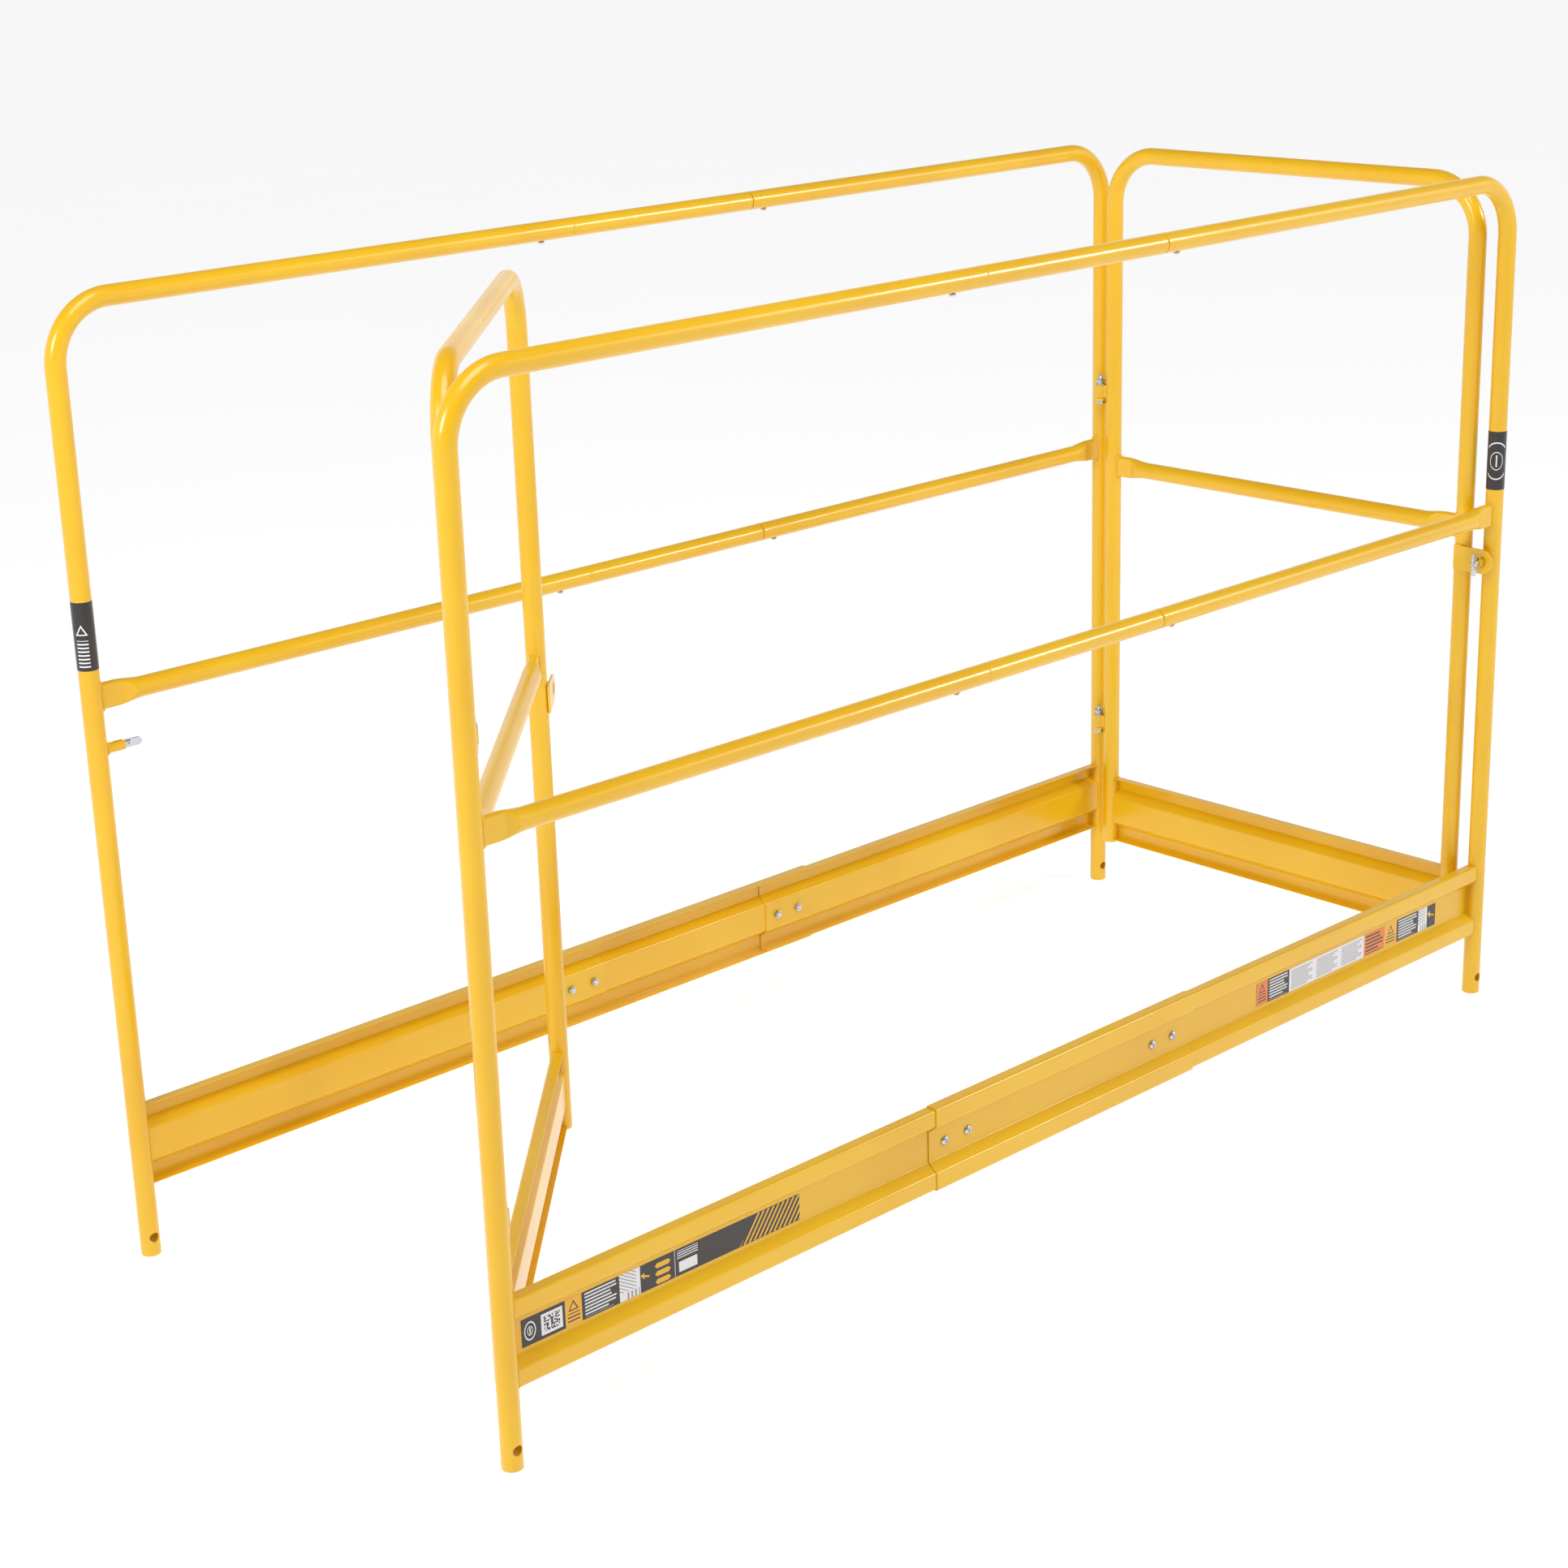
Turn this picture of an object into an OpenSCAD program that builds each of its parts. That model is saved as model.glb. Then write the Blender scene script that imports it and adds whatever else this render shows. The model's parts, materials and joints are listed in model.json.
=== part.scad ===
// Guardrail and toe board kit for a rolling baker scaffold: two side panels and two swinging end gates.
// Millimetres, Z up, X along the side panels, Y across. The origin is centred on the floor plane of the
// post ends.

/* [Overall] */
// Distance between the centres of the two posts of a side panel
panel_l = 1850; // [1500:10:2400]
// Distance between the centre planes of the two side panels
kit_w = 737; // [600:1:900]
// Height of the top rail's centre above the post ends
rail_z = 1210; // [1000:1:1500]
// Height of the side panel's mid rail centre
mid_z = 738; // [550:1:820]

/* [Tube] */
// Outside diameter of the frame tubes
tube_d = 25.4; // [20:0.1:32]
// Wall of the frame tubes
tube_wall = 1.6; // [1.2:0.1:2.5]
// Centre-line radius of the tube bends
bend_r = 76; // [50:1:120]
// Thickness across a flattened tube end
flat_t = 12; // [8:0.5:16]
// Length of a flattened tube end
flat_l = 26; // [15:1:60]
// Length over which a tube changes from round to flat
flat_taper = 34; // [20:1:60]

/* [Rail joints] */
// Centre line to the left end of the exposed centre rail
seam_left = 153; // [100:1:250]
// Centre line to the right end of the exposed centre rail
seam_right = 171; // [100:1:250]
// Open gap at the right end of the centre rail
seam_gap = 1.5; // [0.5:0.1:3]
// Centre line to each rail screw
rail_screw_x = 200; // [180:1:300]
// Length of swaged rail beyond a rail screw
swage_past_screw = 25; // [15:1:60]
// Clearance between a swaged end and the tube around it, on the radius
swage_clear = 0.15; // [0.1:0.05:0.4]
// Diameter of a rail screw's shank
rail_screw_d = 5; // [4:0.5:6]
// Diameter of a rail screw's head
rail_screw_head_d = 9; // [8:0.5:12]

/* [Post ends] */
// Height of the lock hole's centre above the post end
lock_hole_z = 25; // [18:1:60]
// Diameter of the lock hole through each post
lock_hole_d = 12.7; // [8:0.1:16]

/* [Toe board] */
// Height of the underside of the side toe board's end sections
toe_z = 96; // [80:1:160]
// Height of the toe board section
toe_h = 108; // [90:1:150]
// Sheet thickness of the toe boards
toe_t = 1.5; // [1:0.1:2.5]
// How far the middle web is set in from the outer bands
toe_inset = 14; // [8:0.5:16]
// Height of each outer band
toe_band = 22; // [15:1:30]
// Height of each slope between a band and the web
toe_slope = 11; // [8:1:16]
// Width of the flanges turned in at the top and bottom
toe_flange = 15.5; // [12:0.5:24]
// Distance from the post's centre plane out to the face of the outer bands
toe_face = 8; // [4:0.5:10]
// Length of the centre toe board section
toe_centre_l = 500; // [400:5:800]
// Length of one lap between the centre section and an end section
toe_lap = 92; // [70:1:140]
// Shift of the toe board's middle from the middle of the panel
toe_shift = -4; // [-20:1:20]
// Distance from the lap's outer edge to its first screw
toe_screw_edge = 28; // [15:1:40]
// Distance between the two screws of a lap
toe_screw_pitch = 42; // [30:1:60]
// Diameter of the toe board screws
toe_screw_d = 6; // [5:1:8]
// Diameter of the toe board screws' heads
toe_head_d = 12; // [10:0.5:16]

/* [Gates] */
// Open gap between a side post and the gate's free leg, across the kit
gate_free_gap = 14.6; // [8:0.1:40]
// How far the gate's plane is set inboard of the posts
gate_inset = 12; // [6:1:20]
// How far the gate's top rail lies below the side panel's top rail
gate_top_drop = 4; // [0:1:40]
// How far the gate's mid rail lies below the side panel's mid rail
gate_mid_drop = 22; // [0:1:60]
// How far the gate's toe board lies below the side toe boards
gate_toe_drop = 12; // [0:1:40]
// How far the gate's legs reach below its toe board
gate_leg_below = 4; // [0:1:40]
// Angle by which the left gate stands open
left_gate_open = 45; // [0:1:90]

/* [Hinges] */
// Distance from the post's side to the hinge axis, inboard
hinge_in = 9.3; // [8:0.1:16]
// Distance from the post's side to the hinge axis, towards the gate
hinge_across = 6.3; // [5:0.1:12]
// Height of the upper hinge's lug
hinge_top_z = 820; // [760:1:1050]
// Height of the lower hinge's lug
hinge_low_z = 272; // [230:1:500]
// Wall of the hinge sleeve
sleeve_wall = 4.42; // [3.6:0.02:7]
// Gap between the hinge sleeve and the gate's leg, bridged by the weld
sleeve_gap = 0.27; // [0.1:0.01:1]
// Height of the hinge sleeve
sleeve_h = 20; // [14:1:40]
// Diameter of the hinge bolt
hinge_bolt_d = 8; // [6:1:10]
// Running clearance of the sleeve on its bolt, on the radius
hinge_clear = 0.08; // [0.03:0.01:0.1]
// Thickness of the hinge lug
lug_t = 5; // [4:0.5:8]
// How much narrower than the sleeve the hinge lug is
lug_under = 2; // [0:0.5:4]
// How much narrower than the sleeve the hinge washer is
washer_under = 0.6; // [0.2:0.1:4]

/* [Gate locks] */
// Height of the lock stud's axis
lock_z = 672; // [600:1:690]
// Diameter of the painted lock stud
stud_d = 13; // [11:0.5:14]
// Length of the stud beyond the post's surface
stud_l = 23.8; // [20:0.1:34]
// Depth of the slot into the stud's end
stud_slot = 13; // [12:0.5:16]
// Diameter of the lock pin inside the stud
pin_d = 9.5; // [8:0.5:10]
// Distance from the stud's end to the rivet
rivet_out = 7; // [6:0.5:10]
// Diameter of the rivet
rivet_d = 4; // [3:0.5:5]
// Diameter of the rivet's heads
rivet_head_d = 6.5; // [5:0.5:8]
// Running clearance of the flip tab on its rivet, on the radius
tab_clear = 0.08; // [0.03:0.01:0.1]
// Thickness of the flip tab
tab_t = 3; // [2:0.5:4]
// Width of the flip tab
tab_w = 10; // [8:0.5:11]
// Length of the flip tab from the rivet to its short end
tab_short = 14; // [11:0.5:14.5]
// Length of the flip tab from the rivet to its long end
tab_long = 18; // [15:0.5:24]
// Height of the latch plate
plate_h = 36; // [32:1:44]
// Thickness of the latch plate
plate_t = 3; // [2:0.5:4]
// Clearance of the lock stud in the latch plate's hole, on the radius
plate_hole_clear = 0.9; // [0.5:0.1:3]

/* [Labels] */
// Thickness of the labels
label_t = 0.3; // [0.2:0.05:0.5]
// Bare web above and below a toe board label
toe_label_margin = 4; // [1:0.5:10]
// Post centre to the near end of the left toe board label
left_label_from = 28; // [20:1:80]
// Length of the left toe board label
left_label_l = 422; // [100:1:440]
// Post centre to the near end of the right toe board label
right_label_from = 95; // [20:1:120]
// Length of the right toe board label
right_label_l = 427; // [100:1:440]
// Height of the labels wrapped round the posts
post_label_h = 84; // [40:1:110]
// Height of the lower edge of the post labels
post_label_z = 775; // [700:1:900]

/* [Hidden] */
$fn = 72;
eps = 0.1;                    // face gap between welded pieces
run_gap = 0.3;                // gap between faces that move past each other
cut = 1;                      // overrun of cutting shapes
tube_r = tube_d / 2;
bore_r = tube_r - tube_wall;
half_l = panel_l / 2;
half_w = kit_w / 2;
swage_r = bore_r - swage_clear;
swage_wall = 1.6;
flat_h = flat_t + (tube_d - flat_t) * PI / 2;   // a flattened tube keeps its girth
hole_clear = 0.2;
lap_gap = 0.1;
toe_grip = 2 * toe_t + lap_gap;                 // the two sheets that a toe screw holds
head_h = 3.6;
nut_h = 5;
toe_nut_w = 10;
head_draft = 1;                                 // what the side of a screw head leans in by
rail_screw_l = 9;
toe_stub = 2;                                   // end of a toe screw beyond its nut
hinge_nut_w = 1.625 * hinge_bolt_d;             // the usual width of a nut of this size
hinge_nut_h = 7;
washer_t = 1.6;
bolt_stub = 6;
bolt_head_h = 5;
sleeve_bore_d = hinge_bolt_d + 2 * hinge_clear;
sleeve_d = sleeve_bore_d + 2 * sleeve_wall;
sleeve_tab_w = (sleeve_bore_d + sleeve_d) / 2;  // from mid wall to mid wall
lug_w = sleeve_d - lug_under;
washer_d = sleeve_d - washer_under;
washer_z = lug_t + 2 * run_gap + sleeve_h;      // underside of the washer, above the lug's underside
hinge_x = tube_r + hinge_in;
hinge_y = tube_r + hinge_across;
gate_top_z = rail_z - gate_top_drop;
gate_mid_z = mid_z - gate_mid_drop;
gate_toe_z = toe_z - gate_toe_drop;
gate_leg_z = gate_toe_z - gate_leg_below;
toe_label_h = toe_h - 2 * (toe_band + toe_slope + toe_label_margin);
oval_fn = 32;
// Places in a gate's own frame: u runs from the hinge axis to the free leg, n points outwards.
leg_n = hinge_x - gate_inset;
// The leg's place is rounded, so that its bends and rails meet exactly.
leg_u = round(100 * sqrt(pow(tube_r + sleeve_d / 2 + sleeve_gap, 2) - pow(leg_n, 2))) / 100;
stud_u = kit_w - hinge_y;
free_u = stud_u - tube_d - gate_free_gap;
// The lock, measured inwards from the post's centre.
stud_end = tube_r + stud_l;
rivet_x = stud_end + rivet_out;
rivet_seat = 0.4 * pin_d;                       // from the middle of the lock pin to its flats
rivet_head_h = 1.2;
plate_hole_d = stud_d + 2 * plate_hole_clear;
plate_n = leg_n - tube_r;                       // outer face of the latch plate, in the gate's frame

paint = [0.94, 0.72, 0.16];
zinc = [0.78, 0.79, 0.82];
label_black = [0.16, 0.15, 0.16];

// ---- General shapes ----

// A cylinder along +X from the origin.
module rod_x(r, l) rotate([0, 90, 0]) cylinder(r = r, h = l);

// A cylinder along Y, centred.
module rod_y(r, l) rotate([90, 0, 0]) cylinder(r = r, h = l, center = true);

// A quarter of a torus of this tube radius, turning from +Z at the origin to +X.
module elbow(r) translate([bend_r, 0, 0]) rotate([90, 0, 0])
    rotate_extrude(angle = -90) translate([-bend_r, 0]) circle(r = r);

// The points of a polyline moved sideways by d, with mitred corners.
function unit(v) = v / norm(v);
function side(v) = [-v[1], v[0]];
function moved(p, i, d) =
    let (n = len(p) - 1,
         a = side(unit(p[max(i, 1)] - p[max(i, 1) - 1])),
         b = side(unit(p[min(i, n - 1) + 1] - p[min(i, n - 1)])),
         m = unit(a + b))
    p[i] + m * d / (m * a);
function offset_path(p, d) = [for (i = [0 : len(p) - 1]) moved(p, i, d)];

// The pressed section of a toe board. It is drawn in a plane whose x is height and whose y is outwards.
function toe_path() =
    let (lip = toe_face - toe_flange, web = toe_face - toe_inset)
    [[0, lip], [0, toe_face], [toe_band, toe_face], [toe_band + toe_slope, web],
     [toe_h - toe_band - toe_slope, web], [toe_h - toe_band, toe_face], [toe_h, toe_face], [toe_h, lip]];

// A bent sheet between the section moved out by d_out and the same section moved out by d_in.
module sheet_section(d_out, d_in) {
    outer = offset_path(toe_path(), d_out);
    inner = offset_path(toe_path(), d_in);
    polygon(concat(outer, [for (i = [len(inner) - 1 : -1 : 0]) inner[i]]));
}

// A toe board along +X from the origin, with its outward side towards -Y and its underside at z = 0.
module toe_sheet(l, d_out, d_in) rotate([0, -90, 180]) linear_extrude(l) sheet_section(d_out, d_in);

// A solid tube along +X with its end at x = 0 flattened to an upright oval.
module flat_end_tube(l) {
    oval = [for (s = [-1, 1]) s * (flat_h - flat_t) / 2];
    hull() for (z = oval) translate([0, 0, z]) rod_x(flat_t / 2, flat_l, $fn = oval_fn);
    hull() {
        for (z = oval) translate([flat_l - cut, 0, z]) rod_x(flat_t / 2, cut, $fn = oval_fn);
        translate([flat_l + flat_taper, 0, 0]) rod_x(tube_r, cut, $fn = oval_fn);
    }
    translate([flat_l + flat_taper, 0, 0]) rod_x(tube_r, l - flat_l - flat_taper);
}

// A centre rail along X. Both ends are swaged down to slide into the end tubes.
module centre_rail() {
    x0 = -seam_left;
    x1 = seam_right - seam_gap;
    end = rail_screw_x + swage_past_screw;
    inner = swage_r - swage_wall;
    neck = tube_wall;
    rotate([0, 90, 0]) rotate_extrude() polygon([
        [inner, -end], [swage_r, -end], [swage_r, x0], [tube_r, x0], [tube_r, x1], [swage_r, x1],
        [swage_r, end], [inner, end], [inner, x1 - neck], [bore_r, x1 - 3 * neck],
        [bore_r, x0 + 3 * neck], [inner, x0 + neck]]);
}

// A hexagonal nut along +Z with a flat-to-flat width.
module hex_nut(width, h, hole_r) difference() {
    cylinder(r = width / sqrt(3), h = h, $fn = 6);
    translate([0, 0, -cut]) cylinder(r = hole_r, h = h + 2 * cut);
}

// ---- Places ----

// The front panel as drawn, or its mirror image for the back panel.
module panel(back) mirror([0, back ? 1 : 0, 0]) translate([0, -half_w, 0]) children();

// The left end of a panel as drawn, or its mirror image for the right end.
module panel_end(right) mirror([right ? 1 : 0, 0, 0]) children();

// The post at which a gate is hinged. As drawn it is the back right post, and the gate runs towards -Y.
module hinge_post(left) rotate([0, 0, left ? 180 : 0]) translate([half_l, half_w, 0]) children();

// The post that carries a gate's lock. As drawn it is the front right post.
module lock_post(left) rotate([0, 0, left ? 180 : 0]) translate([half_l, -half_w, 0]) children();

// A gate's own frame, swung open by an angle: children are drawn with u along X and n along -Y.
module gate(left) hinge_post(left) translate([-hinge_x, -hinge_y, 0])
    rotate([0, 0, left ? -left_gate_open : 0]) rotate([0, 0, -90]) mirror([0, 1, 0]) children();

// ---- Side panels ----

// The places of the rail screws, under both ends of both centre rails.
module at_rail_screws() for (x = [-rail_screw_x, rail_screw_x], z = [mid_z, rail_z])
    translate([x, 0, z - tube_r]) children();

// The places of the toe board screws, with +Z pointing out of the web's face.
module at_toe_screws(side_of = 0) {
    first = toe_centre_l / 2 - toe_screw_edge;
    for (s = side_of == 0 ? [-1, 1] : [side_of], x = [first, first - toe_screw_pitch])
        translate([toe_shift + s * x, toe_inset - toe_face - toe_t - lap_gap, toe_z + toe_h / 2])
            rotate([90, 0, 0]) children();
}

module screw_holes() at_rail_screws()
    translate([0, 0, -cut]) cylinder(d = rail_screw_d + 2 * hole_clear, h = cut + tube_r);

module end_tube(back, right) color(paint) panel(back) {
    seam = right ? seam_right : seam_left;
    difference() {
        panel_end(right) tube_path(tube_r, seam, 0);
        panel_end(right) tube_path(bore_r, seam, cut);
        translate([right ? half_l : -half_l, 0, lock_hole_z]) rod_y(lock_hole_d / 2, 2 * tube_d);
        screw_holes();
    }
}

// The outline of a left end tube, solid, longer by extra at both ends.
module tube_path(r, seam, extra) {
    straight = rail_z - bend_r;
    translate([-half_l, 0, -extra]) cylinder(r = r, h = straight + extra);
    translate([-half_l, 0, straight]) elbow(r);
    translate([-half_l + bend_r, 0, rail_z]) rod_x(r, half_l - bend_r - seam + extra);
}

module side_mid_rail(back, right) color(paint) panel(back) {
    seam = right ? seam_right : seam_left;
    length = half_l - tube_r - eps - seam;
    difference() {
        panel_end(right) translate([-half_l + tube_r + eps - post_reach(flat_t), 0, mid_z])
            flat_end_tube(length + post_reach(flat_t));
        panel_end(right) translate([-half_l, 0, mid_z - tube_d]) cylinder(r = tube_r + eps, h = 2 * tube_d);
        panel_end(right) translate([-seam - (length - flat_l - flat_taper - cut), 0, mid_z])
            rod_x(bore_r, length);
        screw_holes();
    }
}

// How far an end that is w wide has to reach past a tube's tangent to meet its side all over.
function post_reach(w) = tube_r - sqrt(pow(tube_r, 2) - pow(w / 2, 2));

module side_toe_board(back, right) color(paint) panel(back) {
    inner_end = toe_centre_l / 2 - toe_lap;
    s = right ? 1 : -1;
    x_end = toe_shift + s * inner_end;
    difference() {
        translate([right ? x_end : -half_l, 0, toe_z]) toe_sheet(abs(s * half_l - x_end), 0, -toe_t);
        translate([s * half_l, 0, 0]) cylinder(r = tube_r + eps, h = 2 * (toe_z + toe_h));
        at_toe_screws(s) cylinder(d = toe_screw_d + 2 * hole_clear, h = 6 * toe_t, center = true);
    }
}

module centre_top_rail(back) color(paint) panel(back) difference() {
    translate([0, 0, rail_z]) centre_rail();
    screw_holes();
}

module centre_mid_rail(back) color(paint) panel(back) difference() {
    translate([0, 0, mid_z]) centre_rail();
    screw_holes();
}

module centre_toe_board(back) color(paint) panel(back) difference() {
    translate([toe_shift - toe_centre_l / 2, 0, toe_z]) toe_sheet(toe_centre_l, toe_t + lap_gap, lap_gap);
    at_toe_screws() cylinder(d = toe_screw_d + 2 * hole_clear, h = 6 * toe_t, center = true);
}

module rail_screws(back) color(zinc) panel(back) at_rail_screws() {
    translate([0, 0, -head_h - eps])
        cylinder(r1 = rail_screw_head_d / 2 - head_draft, d2 = rail_screw_head_d, h = head_h);
    translate([0, 0, -eps - cut]) cylinder(d = rail_screw_d, h = cut + rail_screw_l);
}

module toe_screws(back) color(zinc) panel(back) at_toe_screws() {
    cylinder(d1 = toe_head_d, r2 = toe_head_d / 2 - head_draft, h = head_h);
    translate([0, 0, -toe_grip - nut_h - toe_stub])
        cylinder(d = toe_screw_d, h = toe_grip + nut_h + toe_stub + cut);
}

module toe_nuts(back) color(zinc) panel(back) at_toe_screws()
    translate([0, 0, -toe_grip - nut_h]) hex_nut(toe_nut_w, nut_h, toe_screw_d / 2 + hole_clear / 2);

// ---- Gates ----

module gate_hoop(left) color(paint) gate(left) difference() {
    hoop(tube_r, 0);
    hoop(bore_r, cut);
}

// The solid outline of a gate's hoop, longer by extra at the legs' lower ends.
module hoop(r, extra) {
    straight = gate_top_z - bend_r - gate_leg_z;
    for (u = [leg_u, free_u]) translate([u, -leg_n, gate_leg_z - extra])
        cylinder(r = r, h = straight + extra);
    translate([leg_u, -leg_n, gate_leg_z + straight]) elbow(r);
    translate([free_u, -leg_n, gate_leg_z + straight]) mirror([1, 0, 0]) elbow(r);
    translate([leg_u + bend_r, -leg_n, gate_top_z]) rod_x(r, free_u - leg_u - 2 * bend_r);
}

// What a gate's cross pieces are cut back by, so that they meet its legs.
module leg_cut() for (u = [leg_u, free_u])
    translate([u, -leg_n, 0]) cylinder(r = tube_r + eps, h = gate_top_z);

module gate_mid_rail(left) color(paint) gate(left) {
    middle = (leg_u + free_u) / 2;
    half = (free_u - leg_u) / 2 - tube_r + post_reach(flat_t) - eps;
    difference() {
        for (s = [0, 1]) translate([middle, -leg_n, gate_mid_z]) mirror([s, 0, 0])
            translate([-half, 0, 0]) flat_end_tube(half);
        leg_cut();
    }
}

module gate_toe_board(left) color(paint) gate(left) difference() {
    translate([leg_u, -leg_n, gate_toe_z]) toe_sheet(free_u - leg_u, 0, -toe_t);
    leg_cut();
}

module at_hinges() for (z = [hinge_low_z, hinge_top_z]) translate([0, 0, z]) children();

module hinge_sleeves(left) color(paint) gate(left) at_hinges()
    translate([0, 0, lug_t + run_gap]) difference() {
        union() {
            cylinder(d = sleeve_d, h = sleeve_h);
            rotate([0, 0, -atan2(leg_n, leg_u)]) translate([0, -sleeve_tab_w / 2, eps])
                cube([norm([leg_n, leg_u]), sleeve_tab_w, sleeve_h - 2 * eps]);
        }
        translate([0, 0, -cut]) cylinder(d = sleeve_bore_d, h = sleeve_h + 2 * cut);
        translate([leg_u, -leg_n, -cut]) cylinder(r = tube_r + eps, h = sleeve_h + 2 * cut);
    }

module latch_plate(left) color(paint) gate(left)
    translate([0, eps - plate_n, lock_z]) rotate([-90, 0, 0]) difference() {
        union() {
            translate([free_u - tube_r / 2, -plate_h / 2, 0])
                cube([stud_u - free_u + tube_r / 2, plate_h, plate_t]);
            translate([stud_u, 0, 0]) cylinder(d = plate_h, h = plate_t);
        }
        translate([stud_u, 0, -cut]) cylinder(d = plate_hole_d, h = plate_t + 2 * cut);
    }

// ---- Hinge hardware on the posts ----

module hinge_lugs(left) color(paint) hinge_post(left) at_hinges() difference() {
    hull() {
        translate([-hinge_x, -hinge_y, 0]) cylinder(d = lug_w, h = lug_t);
        cylinder(d = lug_w, h = lug_t);
    }
    translate([0, 0, -cut]) cylinder(r = tube_r + eps, h = lug_t + 2 * cut);
    translate([-hinge_x, -hinge_y, -cut]) cylinder(d = hinge_bolt_d + 2 * hole_clear, h = lug_t + 2 * cut);
}

// The places of the hinge bolts, at the underside of each lug.
module at_hinge_bolts(left) hinge_post(left) at_hinges() translate([-hinge_x, -hinge_y, 0]) children();

module hinge_bolts(left) color(zinc) at_hinge_bolts(left) {
    translate([0, 0, -bolt_head_h]) cylinder(d = hinge_nut_w * 2 / sqrt(3), h = bolt_head_h, $fn = 6);
    translate([0, 0, -cut])
        cylinder(d = hinge_bolt_d, h = cut + washer_z + washer_t + hinge_nut_h + bolt_stub);
}

module hinge_washers(left) color(zinc) at_hinge_bolts(left) translate([0, 0, washer_z]) difference() {
    cylinder(d = washer_d, h = washer_t);
    translate([0, 0, -cut]) cylinder(d = hinge_bolt_d + 2 * hole_clear, h = washer_t + 2 * cut);
}

module hinge_nuts(left) color(zinc) at_hinge_bolts(left) translate([0, 0, washer_z + washer_t])
    hex_nut(hinge_nut_w, hinge_nut_h, hinge_bolt_d / 2 + hole_clear / 2);

// ---- Gate locks ----

module lock_stud(left) color(paint) lock_post(left) difference() {
    translate([-stud_end, 0, lock_z]) rod_x(stud_d / 2, stud_end);
    translate([-stud_end - cut, 0, lock_z]) rod_x(pin_d / 2 + eps, stud_end + cut);
    translate([0, 0, lock_z - stud_d]) cylinder(r = tube_r + eps, h = 2 * stud_d);
    tab_slot();
}

// The slot that the flip tab swings in.
module tab_slot() translate([-rivet_x - tube_d, -tab_t / 2 - run_gap, lock_z - stud_d])
    cube([tube_d + rivet_out + stud_slot, tab_t + 2 * run_gap, 2 * stud_d]);

module lock_pin(left) color(zinc) lock_post(left) difference() {
    union() {
        translate([-rivet_x, 0, lock_z]) rod_x(pin_d / 2, rivet_x);
        translate([-rivet_x, 0, lock_z]) rod_y(pin_d / 2, 2 * rivet_seat);
    }
    translate([0, 0, lock_z - stud_d]) cylinder(r = tube_r + eps, h = 2 * stud_d);
    tab_slot();
    for (s = [-1, 1])
        translate([-rivet_x - tube_d, s * (rivet_seat + pin_d / 2) - pin_d / 2, lock_z - pin_d])
            cube([tube_d + rivet_head_d / 2 + eps, pin_d, 2 * pin_d]);
    translate([-rivet_x, 0, lock_z]) rod_y(rivet_d / 2 + hole_clear / 2, 2 * pin_d);
}

module lock_rivet(left) color(zinc) lock_post(left) translate([-rivet_x, 0, lock_z]) {
    rod_y(rivet_d / 2, 2 * rivet_seat + rivet_head_h);
    for (s = [-1, 1])
        translate([0, s * (rivet_seat + rivet_head_h / 2), 0]) rod_y(rivet_head_d / 2, rivet_head_h);
}

// The tab hangs down as drawn. The left one is stored swung up, in line with its stud.
module flip_tab(left) color(zinc) lock_post(left)
    translate([-rivet_x, 0, lock_z]) rotate([0, left ? 90 : 0, 0]) difference() {
        union() {
            translate([-tab_w / 2, -tab_t / 2, tab_w / 2 - tab_long])
                cube([tab_w, tab_t, tab_long + tab_short - tab_w / 2]);
            translate([0, 0, tab_w / 2 - tab_long]) rod_y(tab_w / 2, tab_t);
        }
        rod_y(rivet_d / 2 + tab_clear, 2 * tab_t);
    }

// ---- Labels ----

// A strip on the web of the front toe board, this long from a place along the panel.
module toe_label(x0, l) color(label_black) panel(false)
    translate([x0, toe_inset - toe_face - label_t, toe_z + (toe_h - toe_label_h) / 2])
        cube([l, label_t, toe_label_h]);

module post_label(back, right) color(label_black) panel(back)
    translate([right ? half_l : -half_l, 0, post_label_z]) difference() {
        cylinder(r = tube_r + label_t + eps / 2, h = post_label_h);
        translate([0, 0, -cut]) cylinder(r = tube_r + eps / 2, h = post_label_h + 2 * cut);
    }

// ---- Assembly ----

end_tube(false, false);  // front_left_end_tube
end_tube(false, true);  // front_right_end_tube
end_tube(true, false);  // back_left_end_tube
end_tube(true, true);  // back_right_end_tube
side_mid_rail(false, false);  // front_left_mid_rail
side_mid_rail(false, true);  // front_right_mid_rail
side_mid_rail(true, false);  // back_left_mid_rail
side_mid_rail(true, true);  // back_right_mid_rail
side_toe_board(false, false);  // front_left_toe_board
side_toe_board(false, true);  // front_right_toe_board
side_toe_board(true, false);  // back_left_toe_board
side_toe_board(true, true);  // back_right_toe_board
centre_top_rail(false);  // front_centre_top_rail
centre_top_rail(true);  // back_centre_top_rail
centre_mid_rail(false);  // front_centre_mid_rail
centre_mid_rail(true);  // back_centre_mid_rail
centre_toe_board(false);  // front_centre_toe_board
centre_toe_board(true);  // back_centre_toe_board
rail_screws(false);  // front_rail_screws
rail_screws(true);  // back_rail_screws
toe_screws(false);  // front_toe_screws
toe_screws(true);  // back_toe_screws
toe_nuts(false);  // front_toe_nuts
toe_nuts(true);  // back_toe_nuts
hinge_lugs(true);  // left_hinge_lugs
hinge_lugs(false);  // right_hinge_lugs
hinge_bolts(true);  // left_hinge_bolts
hinge_bolts(false);  // right_hinge_bolts
hinge_washers(true);  // left_hinge_washers
hinge_washers(false);  // right_hinge_washers
hinge_nuts(true);  // left_hinge_nuts
hinge_nuts(false);  // right_hinge_nuts
lock_stud(true);  // left_lock_stud
lock_stud(false);  // right_lock_stud
lock_pin(true);  // left_lock_pin
lock_pin(false);  // right_lock_pin
lock_rivet(true);  // left_lock_rivet
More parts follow.
